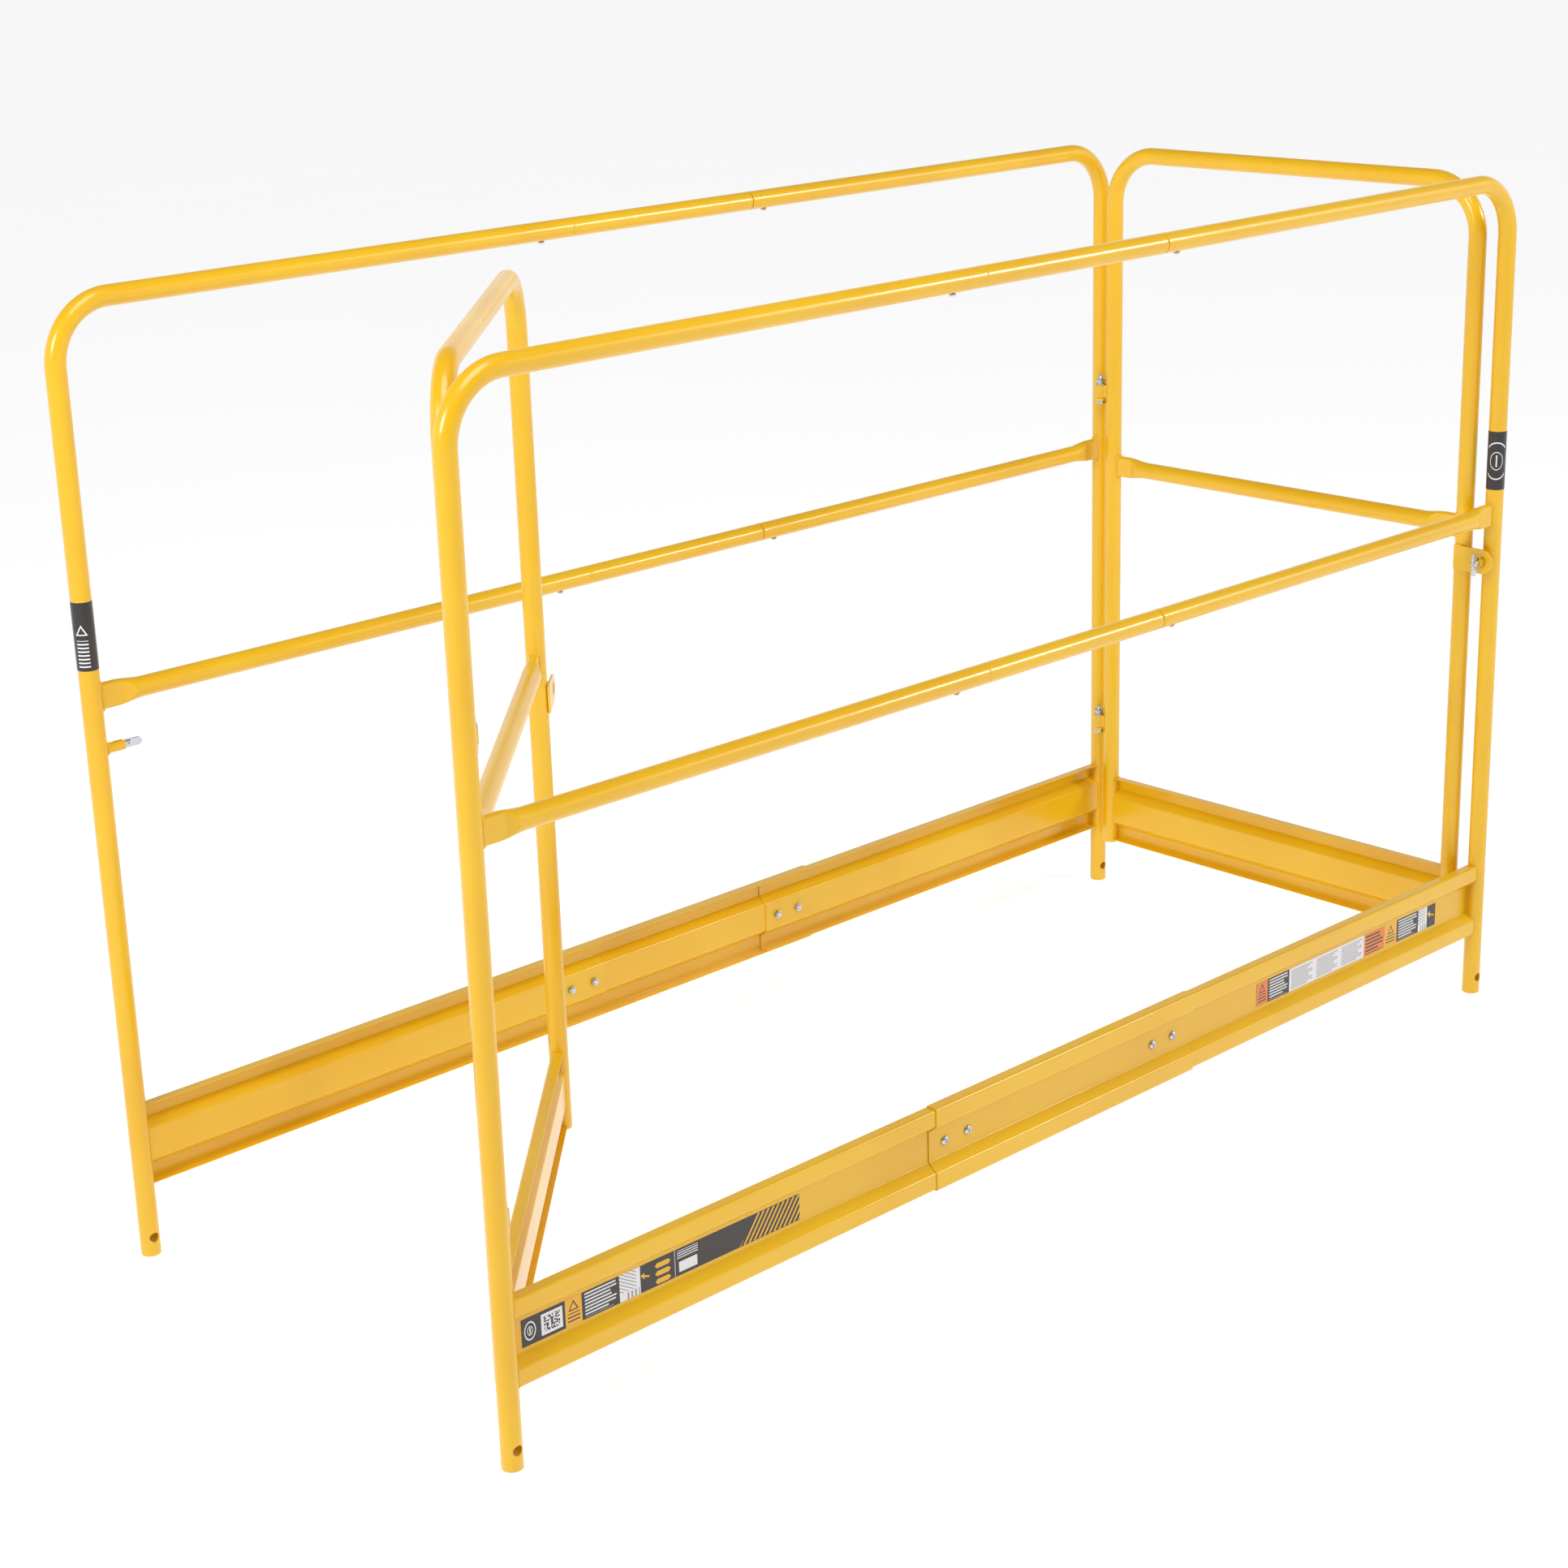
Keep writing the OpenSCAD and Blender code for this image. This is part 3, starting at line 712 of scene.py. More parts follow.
@dataclass(frozen=True)
class LabelFilm(Finish):
    """A printed film under clear laminate, made of blocks along its length. Its print is plain shapes."""

    blocks: tuple[Block, ...] = ()
    start: float = 0.0
    foot: float = 0.0
    high: float = 34.0
    post: tuple[float, float] | None = None
    radius: float = 12.9
    slot: str = "label"

    def along(self, shader: Shader) -> tuple[Value, Value]:
        """Millimetres along the label and up from its foot; round a post, the turn times the radius."""
        x, y, z = shader.axes()
        if self.post is None:
            return x - self.start, z - self.foot
        turn = (self.post[1] - y).math("ARCTAN2", self.post[0] - x)
        return turn * self.radius + self.start, z - self.foot

    def printed(self, block: Block, p: Value, q: Value) -> Value:
        """1 where a block's ink lies. p and q run from the block's lower left corner.

        Args:
            block: the block.
            p: millimetres along it.
            q: millimetres up it.

        Returns:
            The mask.
        """
        w, h = block.width, self.high
        inside = p.between(w * 0.08, w * 0.92) * q.between(h * 0.06, h * 0.94)
        match block.motif:
            case Motif.LINES | Motif.SHORT_LINES | Motif.SMALL_PRINT:
                pitch = {Motif.LINES: 4.2, Motif.SHORT_LINES: 5.4, Motif.SMALL_PRINT: 2.9}[block.motif]
                row = ((q + 0.6) / pitch).math("FLOOR")
                ragged = 0.66 + 0.28 * (row * 2.3 + 0.7).math("SINE").size()
                words = (p * 0.9 + row * 1.7).math("SINE").size() > 0.13
                return (q + 0.6).repeat(pitch).between(pitch * 0.22, pitch * 0.72) * (p < ragged * w) * inside * words
            case Motif.TRIANGLE:
                u, v = (p - w / 2).size(), q - h * 0.52
                def peak(size: float) -> Value:
                    """1 inside an upright triangle this high."""
                    return (v > (14 - size) * 0.33) * ((u * 1.73 + v) < (size + (14 - size) * 0.33))
                lines = (q < h * 0.45) * (q + 1.0).repeat(4.6).between(1.2, 3.0) * (u < w * 0.36) * (q > 2)
                return peak(13.0) * (1 - peak(8.5)) + lines
            case Motif.STRIPES:
                return (p - q * 0.75).repeat(8.0).between(0.0, 3.4) * q.between(0.6, h - 0.6) * (p > q * 0.9 + 2.0)
            case Motif.PICTURE:
                hatch = (p * 0.6 + q).repeat(4.4).between(0.0, 1.3) * (q > h * 0.3) * (p < w * 0.8)
                return hatch + p.repeat(5.6).between(0.0, 2.6) * (q < h * 0.26) * p.between(w * 0.3, w * 0.95)
            case Motif.ARROW:
                v = (q - h * 0.55 + (p - w / 2) * 0.35).size()
                return (v < 1.1) * p.between(w * 0.3, w * 0.85) + (v < (p - w * 0.04) * 0.75) * (p < w * 0.38)
            case Motif.PILLS:
                u, v = (p - w / 2).size(), q.repeat(h / 3.4) - h / 6.8
                return ((u - w * 0.24).math("MAXIMUM", 0.0) + v.size() < 3.2) * q.between(0, h * 0.88)
            case Motif.TILE:
                cells = shader_cells(p, q)
                frame_in = p.between(w * 0.1, w * 0.9) * q.between(h * 0.12, h * 0.88)
                core = p.between(w * 0.2, w * 0.8) * q.between(h * 0.22, h * 0.78)
                return frame_in * (1 - core * cells)
            case Motif.HAND:
                u, v = p - w / 2, q - h / 2
                far = (u * u * 1.5 + v * v * 0.75).math("SQRT")
                rings = far.between(h * 0.27 - 0.8, h * 0.27 + 0.8) + far.between(h * 0.13 - 0.5, h * 0.13 + 0.5)
                return rings + (u.size() < 0.9) * (v.size() < h * 0.1)
            case Motif.FRAMED:
                line = (p < 0.7) + q.between(h * 0.12, h * 0.5) * p.between(w * 0.16, w * 0.86)
                dashes = q.repeat(3.0).between(0.6, 1.8) * p.between(w * 0.1, w * 0.9)
                return line + q.between(h * 0.6, h * 0.92) * dashes
        return p < -1e6

    def paint(self, shader: Shader) -> bpy.types.Material:
        """Builds the material's nodes."""
        p, q = self.along(shader)
        colour, start = Ink.BLACK.value, 0.0
        for block in self.blocks:
            inside = p > start
            colour = shader.blend(inside, colour, block.ground.value)
            if block.motif is not Motif.PLAIN:
                ink = (self.printed(block, p - start, q) * p.between(start, start + block.width)).math("MINIMUM", 1.0)
                colour = shader.blend(ink, colour, block.ink.value)
            start += block.width
        scuff = (shader.noise(300.0, 5.0, 0.7) + shader.worn() * 0.2).step(0.62, 0.85)
        lifted = shader.noise(35.0, 2.0)
        colour = shader.blend(scuff * 0.25, colour, Ink.GREY.value)
        return shader.done(Base_Color=colour, Roughness=0.28 + scuff * 0.25 + lifted * 0.06, Coat_Weight=0.25,
                           Coat_Roughness=0.15, Normal=shader.bump(lifted + scuff * 0.1, 0.0003, 0.4))


def shader_cells(p: Value, q: Value) -> Value:
    """A scatter of small square cells that stands for a printed code and holds none."""
    side = 1.6
    cell = (p / side).math("FLOOR") * 12.9 + (q / side).math("FLOOR") * 78.2
    return (cell.math("SINE") * 43.7).math("FRACT") > 0.5


@dataclass(frozen=True)
class StudioFloor(Finish):
    """Plain pale floor paint with the faintest mottle, lit from below like a light table to keep shadows faint."""

    name: str = "studio_floor"
    slot: str = ""

    def paint(self, shader: Shader) -> bpy.types.Material:
        """Builds the material's nodes."""
        tone = shader.noise(1.2, 2.0)
        x, y, _ = shader.axes()
        lit = 1 - ((x + y) * -0.000707).step(2.0, 9.0) * 0.15
        return shader.done(Base_Color=shader.blend(tone, (0.42, 0.42, 0.42, 1), (0.45, 0.45, 0.45, 1)), Roughness=0.9,
                           Specular_IOR_Level=0.0, Emission_Color=shader.blend(lit, (0, 0, 0, 1), (1, 1, 1, 1)),
                           Emission_Strength=0.8)


PAINT = PowderCoat()
WELD = PowderCoat(name="painted_weld", coarse=0.9, peel=0.8)
ZINC = ZincPlate()


# ---- Sizes that sub-assemblies share ----

@dataclass(frozen=True)
class Kit:
    """Sizes of the whole kit. Posts stand at the corners of half_l by half_w, and z is 0 at their feet.

    A tube's pressed end is flat for flat_l and full again at press, with its paint worn at crease, and its end is
    fitted to the post over cope. A cut end is drawn over cut, and its bore is closed at plug.
    """

    half_l: float = 925.0
    half_w: float = 368.5
    tube: float = 12.7
    wall: float = 1.6
    bend: float = 76.0
    gap: float = 0.1
    flat: float = 6.0
    flat_high: float = 16.52
    flat_l: float = 26.0
    taper: float = 34.0
    press: float = 66.0
    cut: float = 1.6
    plug: float = 30.0
    crease: float = 30.0
    cope: float = 12.0

    @property
    def bore(self) -> float:
        """The tubes' bore radius."""
        return self.tube - self.wall

    def surface(self, y: Array, extra: float = 0.1) -> Array:
        """How far a round post's side stands from its axis at a distance y off it."""
        return np.sqrt(np.maximum((self.tube + extra) ** 2 - y ** 2, 0.0))

    def bent(self, depth: Array) -> Array:
        """Sections of a bent tube: a circle that flattens towards the inside of a bend with depth, 0 to 1."""
        t = around(RING)[None]
        wide, high = self.tube * (1 + 0.008 * depth[:, None]), self.tube * (1 - 0.022 * depth[:, None])
        return np.stack([wide * np.cos(t), high * np.sin(t)], -1)

    def rubbed(self, distance: Array) -> Array:
        """Wear along a pressed end, greatest at its crease."""
        return (0.35 * np.exp(-np.abs(distance - self.crease) / 6))[:, None]

    def pressed(self, distance: Array, count: int = 72) -> Array:
        """Sections of a tube whose end is pressed flat.

        The tube is an ellipse that grows taller towards its end. Its sides are cut by two planes, which close in
        from the full tube to the flat's thickness, so their edges draw the pointed crease of a pressed tube.
        The cut is softened as -log(exp(-a) + exp(-b)).

        Args:
            distance: from the tube's end, for each section.
            count: points round a section.

        Returns:
            Sections (n, count, 2): across, up.
        """
        d = distance[:, None]
        t = around(count)[None]
        high = self.flat_high + (self.tube - self.flat_high) * ease((d - self.flat_l * 0.7) / (self.taper + 6))
        plane = self.flat + (self.tube + 3 - self.flat) * np.clip((d - self.flat_l - 3) / 21, 0, 1)
        side, soft = self.tube * np.abs(np.cos(t)), 0.45
        thick = np.minimum(-np.log(np.exp(-side / soft) + np.exp(-plane / soft)) * soft, side)
        thick = np.where(plane > self.tube + 2, side, thick)
        return np.stack([np.sign(np.cos(t)) * np.maximum(thick, 0), high * np.sin(t)], -1)


KIT = Kit()
ACROSS = (0.0, 1.0, 0.0)


@dataclass
class ToeSection:
    """The pressed section of a toe board, as (height, outwards) corners."""

    corners: tuple[tuple[float, float], ...] = ((0, -7.5), (0, 8), (22, 8), (33, -6), (75, -6), (86, 8), (108, 8),
                                                (108, -7.5))
    thick: float = 1.5
    fold: float = 2.3
    web: float = 54.0              # height of its middle

    def sheet(self, shell: Shell, foot: float, shift: float, x0: float, x1: float,
              posts: tuple[float | None, ...]) -> None:
        """Adds a length of the section.

        Its ends are cut square, or coped to a post: x is the post's centre plus or minus the post's side there.

        Args:
            shell: where the surfaces go.
            foot: height of the section's underside.
            shift: how far the sheet's middle lies outside the corners.
            x0: where it starts.
            x1: where it ends.
            posts: a post's centre at the start and at the end, or None.
        """
        line, normal = folded(self.corners, shift, self.fold)
        first, last = unit(line[0] - line[1]) * 0.35, unit(line[-1] - line[-2]) * 0.35
        line[0] -= first
        line[-1] -= last

        def ring(half: float) -> Array:
            """The closed section with the sheet half this thick, with blunted edges."""
            edge = half - 0.3
            out, back = (np.vstack([line[:1] + first + normal[:1] * edge * way, line + normal * half * way,
                                    line[-1:] + last + normal[-1:] * edge * way]) for way in (1, -1))
            return np.vstack([out, back[::-1]])

        full, thin = ring(self.thick / 2), ring(self.thick / 2 - 0.25)
        starts = [x0 if posts[0] is None else posts[0] + KIT.surface(r[:, 1]) for r in (thin, full)]
        ends = [x1 if posts[1] is None else posts[1] - KIT.surface(r[:, 1]) for r in (full, thin)]
        rows = [(starts[0], thin), (starts[1] + 0.3, full), (starts[1] + 1.2, full)]
        rows += [(starts[1] + (ends[0] - starts[1]) * w, full) for w in np.linspace(0.02, 0.98, 13)]
        rows += [(ends[0] - 1.2, full), (ends[0] - 0.3, full), (ends[1], thin)]
        grid = np.stack([np.stack([np.broadcast_to(x, len(r)), r[:, 1], foot + r[:, 0]], -1) for x, r in rows])
        wear = np.zeros(grid.shape[:2])
        wear[[0, -1]] = 0.45
        shell.grid(grid, wear=wear)
        half = len(full) // 2
        for row in (grid[0], grid[-1]):
            shell.grid(np.stack([row[:half], row[half:][::-1]]), columns=False, wear=0.3)

    def seam(self, foot: float, post: float, way: float, outside: bool) -> Array:
        """The line where the sheet meets a post, on one of its faces.

        Args:
            foot: height of the section's underside.
            post: the post's centre.
            way: 1 where the board runs towards +x from the post, -1 where it runs the other way.
            outside: whether it is the face that looks outwards.

        Returns:
            Points along the seam.
        """
        line, normal = folded(self.corners, -self.thick / 2, self.fold)
        line = (line + normal * (self.thick / 2 if outside else -self.thick / 2))[1:-1]
        return np.stack([post + way * (KIT.surface(line[:, 1], 0.0) + 0.3), line[:, 1], foot + line[:, 0]], -1)


def post_beads(shell: Shell, toe: ToeSection, posts: tuple[float, float], shift: float, mid: float,
               foot: float) -> None:
    """Beads at two posts: round a pressed rail's ends, and down both faces of a toe board.

    Args:
        shell: where the surfaces go.
        toe: the toe board's section.
        posts: centres of the first and the last post.
        shift: how far outwards the posts stand.
        mid: height of the rail.
        foot: height of the toe board's underside.
    """
    section = KIT.pressed(np.zeros(1), 96)[0]
    section = section + unit(section + 1e-9) * 0.3
    for way, post in zip((1.0, -1.0), posts):
        off = post + way * (KIT.surface(section[:, 0], 0.0) + 0.5)
        ring = np.stack([off, section[:, 0] + shift, mid + section[:, 1]], -1)
        shell.grid(bead(ring, (post + way * 12, shift, mid), radius=1.9, closed=True), rows=True)
        for outside, behind in ((True, -2), (False, 30)):
            line = toe.seam(foot, post, way, outside) + np.array([0, shift, 0])
            shell.solid(bead(line, (post + way * 14, shift + behind, foot + toe.web), radius=1.3, closed=False))


class Fasteners:
    """Screws, nuts, bolts and washers, each drawn on an axis."""

    @staticmethod
    def pan_head(shell: Shell, seat: Vec, axis: Vec, across: Vec, radius: float,
                 high: float, base: float) -> None:
        """A pan head with a cross recess.

        Its top is the dome high - 0.62 high (r / R)^4. The recess is the greater of two crossed slots, each 1
        inside its half width and length and eased to 0 outside, and it is deepest in the middle.

        Args:
            shell: where the surfaces go.
            seat: middle of the face that the head sits on.
            axis: direction out of that face.
            across: direction of one slot.
            radius: the head's radius at its seat.
            high: its height.
            base: how much narrower its seat is.
        """
        profile = [(0, 0), (0, radius - base - 0.3), (0.3, radius - base), (high * 0.38, radius)]
        shell.grid(revolve(profile, seat, axis, across, 48), wear=np.array([0, 0, 0.3, 0.5])[:, None])
        r = np.linspace(1, 0, 16)[:, None] * radius
        t = around(48)[None]
        u, v = np.abs(r * np.cos(t)), np.abs(r * np.sin(t))
        wide, reach = 0.13 * radius, 0.55 * radius
        arms = np.maximum(ease((wide - v) / 0.5 + 0.5) * ease((reach - u) / 0.7 + 0.5),
                          ease((wide - u) / 0.5 + 0.5) * ease((reach - v) / 0.7 + 0.5))
        z = high - 0.62 * high * (r / radius) ** 4 - arms * high * 0.5 * (1 - r / radius * 0.7)
        shell.grid(turned(seat, axis, across, z, r, t), wear=0.25 + arms * 0.6)

    @staticmethod
    def hex_body(shell: Shell, seat: Vec, axis: Vec, across: Vec, flats: float,
                 high: float, bore: float) -> None:
        """A hexagonal nut, or a bolt's head where the bore is 0.

        The side lies at flats / 2 / cos(angle from the nearest flat), and its corners are turned down at 30
        degrees, so each drops by tan 30 times how far it stands beyond the turned circle.

        Args:
            shell: where the surfaces go.
            seat: middle of the lower face.
            axis: direction towards the upper face.
            across: direction of a flat.
            flats: width across the flats.
            high: height.
            bore: radius of the bore.
        """
        t = around(48)
        side = flats / 2 / np.cos((t + np.pi / 6) % (np.pi / 3) - np.pi / 6)
        circle = np.full(48, flats / 2 * 0.96)
        drop = (side - circle) * math.tan(math.pi / 6)
        bored = np.full(48, bore)
        rows = [(circle, 0 * t), (side, drop), (side, high - drop), (circle, high + 0 * t)]
        if bore:
            rows += [(bored + 0.5, high + 0 * t), (bored, high - 0.5 + 0 * t), (bored, 0.5 + 0 * t),
                     (bored + 0.5, 0 * t)]
        radius, height = np.array(rows).transpose(1, 0, 2)
        grid = turned(seat, axis, across, height, radius, t[None])
        wear = np.array([0.4, 0.7, 0.7, 0.5] + [0.3] * (len(rows) - 4))[:, None]
        if bore:
            shell.grid(grid, rows=True, wear=wear)
        else:
            shell.solid(grid, wear=wear)

    @staticmethod
    def thread(shell: Shell, start: Vec, axis: Vec, across: Vec, radius: float,
               length: float, pitch: float) -> None:
        """A threaded stub. Its radius dips by a triangle wave of height / pitch - turn, and its tip is chamfered."""
        t = around(36)[None]
        z = np.linspace(0, length, int(length / pitch * 8))[:, None]
        wave = np.abs(((z / pitch - t / (2 * np.pi)) % 1) * 2 - 1)
        r = radius - 0.3 * pitch * wave
        r = np.minimum(r, radius - 0.3 + (length - z))
        shell.solid(turned(start, axis, across, z, r, t), wear=0.5)

    @staticmethod
    def washer(shell: Shell, seat: Vec, axis: Vec, across: Vec, outer: float,
               inner: float, thick: float) -> None:
        """A plain washer with bevelled edges."""
        b = 0.25
        rows = revolve([(0, inner + b), (0, outer - b), (b, outer), (thick - b, outer), (thick, outer - b),
                        (thick, inner + b), (thick - b, inner), (b, inner)], seat, axis, across, 48)
        shell.grid(rows, rows=True, wear=0.4)


# ---- Sub-assemblies ----

class Side(Enum):
    """One of the two side panels, by where it stands."""

    FRONT = -1
    BACK = 1


class Half(Enum):
    LEFT = -1
    RIGHT = 1


class SubAssembly:
    @property
    def name(self) -> str:
        """What its pieces' names begin with."""
        raise NotImplementedError

    def place(self) -> Place:
        """Its frame."""
        raise NotImplementedError

    def piece(self, shell: Shell, kind: str, how: str, finish: Finish = PAINT, place: Place | None = None) -> None:
        """Makes the piece that stands for one node, whose name ends with how it is made.

        Args:
            shell: its surfaces.
            kind: the node's name after the sub-assembly's.
            how: how it is made.
            finish: what it is covered with.
            place: its frame, where that isn't the sub-assembly's.
        """
        node = f"{self.name}_{kind}"
        shell.make(f"{node}_{how}", place or self.place(), finish, [node])


@dataclass
class EndPart(SubAssembly):
    half: Half

    @property
    def name(self) -> str:
        """left or right."""
        return self.half.name.lower()


@dataclass
class SidePanel(SubAssembly):
    """A side guardrail panel: two bent end tubes, mid rails, centre rails and a three-part toe board."""

    side: Side
    rail_z: float = 1210.0
    mid_z: float = 738.0
    seam: dict[Half, float] = field(default_factory=lambda: {Half.LEFT: 153.0, Half.RIGHT: 171.0})
    seam_gap: float = 1.5
    screw_x: float = 200.0
    swage: float = 10.95
    swage_end: float = 225.0
    hole: float = 6.35
    hole_z: float = 25.0
    toe_z: float = 96.0
    toe_ends: dict[Half, float] = field(default_factory=lambda: {Half.LEFT: -162.0, Half.RIGHT: 154.0})
    toe_centre: tuple[float, float] = (-254.0, 246.0)
    toe_screws: tuple[float, ...] = (-226.0, -184.0, 176.0, 218.0)
    toe: ToeSection = field(default_factory=ToeSection)

    @property
    def name(self) -> str:
        """front or back."""
        return self.side.name.lower()

    def place(self, half: Half = Half.RIGHT) -> Place:
        """The panel's frame, turned over for an end that is drawn as the right one."""
        return Place((float(half.value), 0.0, 0.0), (0.0, float(self.side.value), 0.0),
                     (0.0, self.side.value * KIT.half_w, 0.0))

    def build(self) -> None:
        """Builds the panel's pieces."""
        for half in Half:
            self.end_tube(half)
            self.mid_rail(half)
            self.toe_end(half)
        self.centre_rail("top_rail", self.rail_z)
        self.centre_rail("mid_rail", self.mid_z)
        self.toe_middle()
        self.rail_screws()
        self.toe_screw_set()
        self.welds()

    def end_tube(self, half: Half) -> None:
        """One post and its share of the top rail, drawn with the post at +x: up, round the bend, and inwards.

        The section is a circle that is a little flattened in the bend, as a bent tube is.
        """
        shell, foot = Shell(), 50.0
        corners = ((KIT.half_l, 0, foot), (KIT.half_l, 0, self.rail_z), (self.seam[half], 0, self.rail_z))
        route = Route(corners, KIT.bend)
        (b0, b1), = route.bends()
        s = stations((0, b0, 12), (b0, b1, 28), (b1, route.length - KIT.cut, 14))
        points, ways, depth = route.at(s)
        shell.grid(carry(points, ways, ACROSS, KIT.bent(depth)))
        end, way, _ = route.at(np.array([route.length]))
        shell.end(end[0], -way[0], ACROSS, KIT.tube, KIT.bore, KIT.plug)
        post = np.array([KIT.half_l, 0.0, 0.0])
        for side in (1, -1):
            wall = holed_half(KIT.tube, KIT.bore, self.hole, self.hole_z, foot, 0.5, side)
            wear = np.concatenate([np.linspace(0, 0.75, 8) ** 3, [0.9], np.full(6, 0.3)])[:, None]
            wear = wear + 0.8 * np.exp(-wall[..., 2] / 3.0)
            shell.grid(wall + post, wear=np.clip(wear, 0, 1))
        rim = [(0.5, KIT.tube), (0.15, KIT.tube - 0.12), (0, KIT.tube - 0.5), (0, KIT.bore + 0.3), (0.5, KIT.bore)]
        shell.grid(revolve(rim, post, (0, 0, 1), ACROSS), wear=0.9)
        plug = revolve([(foot, KIT.bore), (foot + 60, KIT.bore)], post, (0, 0, 1), ACROSS)
        shell.grid(plug)
        shell.cap(plug[-1])
        self.piece(shell, f"{half.name.lower()}_end_tube", "bent", place=self.place(half))

    def mid_rail(self, half: Half) -> None:
        """A mid rail from the post to the seam. Its end at the post is pressed flat and coped to the post."""
        shell = Shell()
        start, end = KIT.half_l - KIT.tube - KIT.gap, self.seam[half]
        d = stations((0, KIT.press, 67), (KIT.press, start - end - KIT.cut, 12))
        section = KIT.pressed(d, RING)
        points = np.stack([start - d, 0 * d, 0 * d + self.mid_z], 1)
        grid = carry(points, np.tile([-1.0, 0, 0], (len(d), 1)), ACROSS, section)
        cope = KIT.half_l - KIT.surface(grid[..., 1]) - start
        grid[..., 0] += cope * np.clip(1 - d / KIT.cope, 0, 1)[:, None]
        shell.grid(grid, wear=KIT.rubbed(d))
        shell.cap(grid[0])
        shell.end(np.array([end, 0, self.mid_z]), np.array([1.0, 0, 0]), ACROSS, KIT.tube, KIT.bore, KIT.plug)
        self.piece(shell, f"{half.name.lower()}_mid_rail", "pressed", place=self.place(half))

    def centre_rail(self, kind: str, z: float) -> None:
        """The short rail in the middle, whose ends are swaged down to slide into the end tubes."""
        x0, x1, r, n = -self.seam[Half.LEFT], self.seam[Half.RIGHT] - self.seam_gap, KIT.tube, self.swage
        shell = Shell()
        edge = [(0, r - 0.5), (0.15, r - 0.12), (0.5, r), (1.6, r), (60, r)]
        profile = [(-self.swage_end, n - 1), (-self.swage_end + 1, n), (x0 - 0.05, n), (x0, n + 0.4)]
        profile += [(x0 + deep, radius) for deep, radius in edge]
        profile += [(x1 - deep, radius) for deep, radius in reversed(edge)]
        profile += [(x1 + 0.2, n + 0.4), (x1 + 1.2, n), (self.swage_end - 1, n), (self.swage_end, n - 1)]
        shell.solid(revolve(profile, (0, 0, z), (1, 0, 0), ACROSS))
        self.piece(shell, f"centre_{kind}", "swaged")

    def toe_end(self, half: Half) -> None:
        """An end section of the toe board, drawn with its post at +x."""
        shell = Shell()
        inner = self.toe_ends[half] * half.value
        self.toe.sheet(shell, self.toe_z, -self.toe.thick / 2, inner, 0, (None, KIT.half_l))
        self.piece(shell, f"{half.name.lower()}_toe_board", "pressed", place=self.place(half))

    def toe_middle(self) -> None:
        """The middle section, which laps outside both end sections."""
        shell = Shell()
        self.toe.sheet(shell, self.toe_z, self.toe.thick / 2 + 0.1, *self.toe_centre, (None, None))
        self.piece(shell, "centre_toe_board", "pressed")

    def rail_screws(self) -> None:
        """The screws under both rails, beside the seams."""
        shell = Shell()
        for z in (self.rail_z, self.mid_z):
            for x in (-self.screw_x, self.screw_x):
                seat = (x, 0, z - KIT.tube - 0.1)
                Fasteners.pan_head(shell, seat, (0, 0, -1), (1, 0, 0), radius=4.5, high=3.6, base=0.6)
                Fasteners.thread(shell, (x, 0, z - KIT.tube), (0, 0, 1), (1, 0, 0), radius=2.5, length=9.0, pitch=1.4)
        self.piece(shell, "rail_screws", "plated", ZINC)

    def toe_screw_set(self) -> None:
        """The toe board's screws, heads outwards, and the nuts behind them."""
        heads, nuts = Shell(), Shell()
        face = self.toe.corners[3][1] + self.toe.thick + 0.1
        z = self.toe_z + self.toe.web
        for i, x in enumerate(self.toe_screws):
            turn = 0.4 + 1.3 * i
            across = (math.cos(turn), 0, math.sin(turn))
            Fasteners.pan_head(heads, (x, face, z), (0, 1, 0), across, radius=6.0, high=3.6, base=0.5)
            back = face - 2 * self.toe.thick - 0.1
            Fasteners.thread(heads, (x, face, z), (0, -1, 0), across, radius=3.0,
                             length=2 * self.toe.thick + 0.1 + 5 + 2, pitch=1.0)
            Fasteners.hex_body(nuts, (x, back, z), (0, -1, 0), across, flats=10.0, high=5.0, bore=3.1)
        self.piece(heads, "toe_screws", "plated", ZINC)
        self.piece(nuts, "toe_nuts", "plated", ZINC)

    def welds(self) -> None:
        """The weld beads at the posts: round the mid rails' ends and down both faces of the toe board."""
        shell = Shell()
        post_beads(shell, self.toe, (-KIT.half_l, KIT.half_l), 0.0, self.mid_z, self.toe_z)
        shell.make(f"{self.name}_panel_welds", self.place(), WELD, body="side_panels")


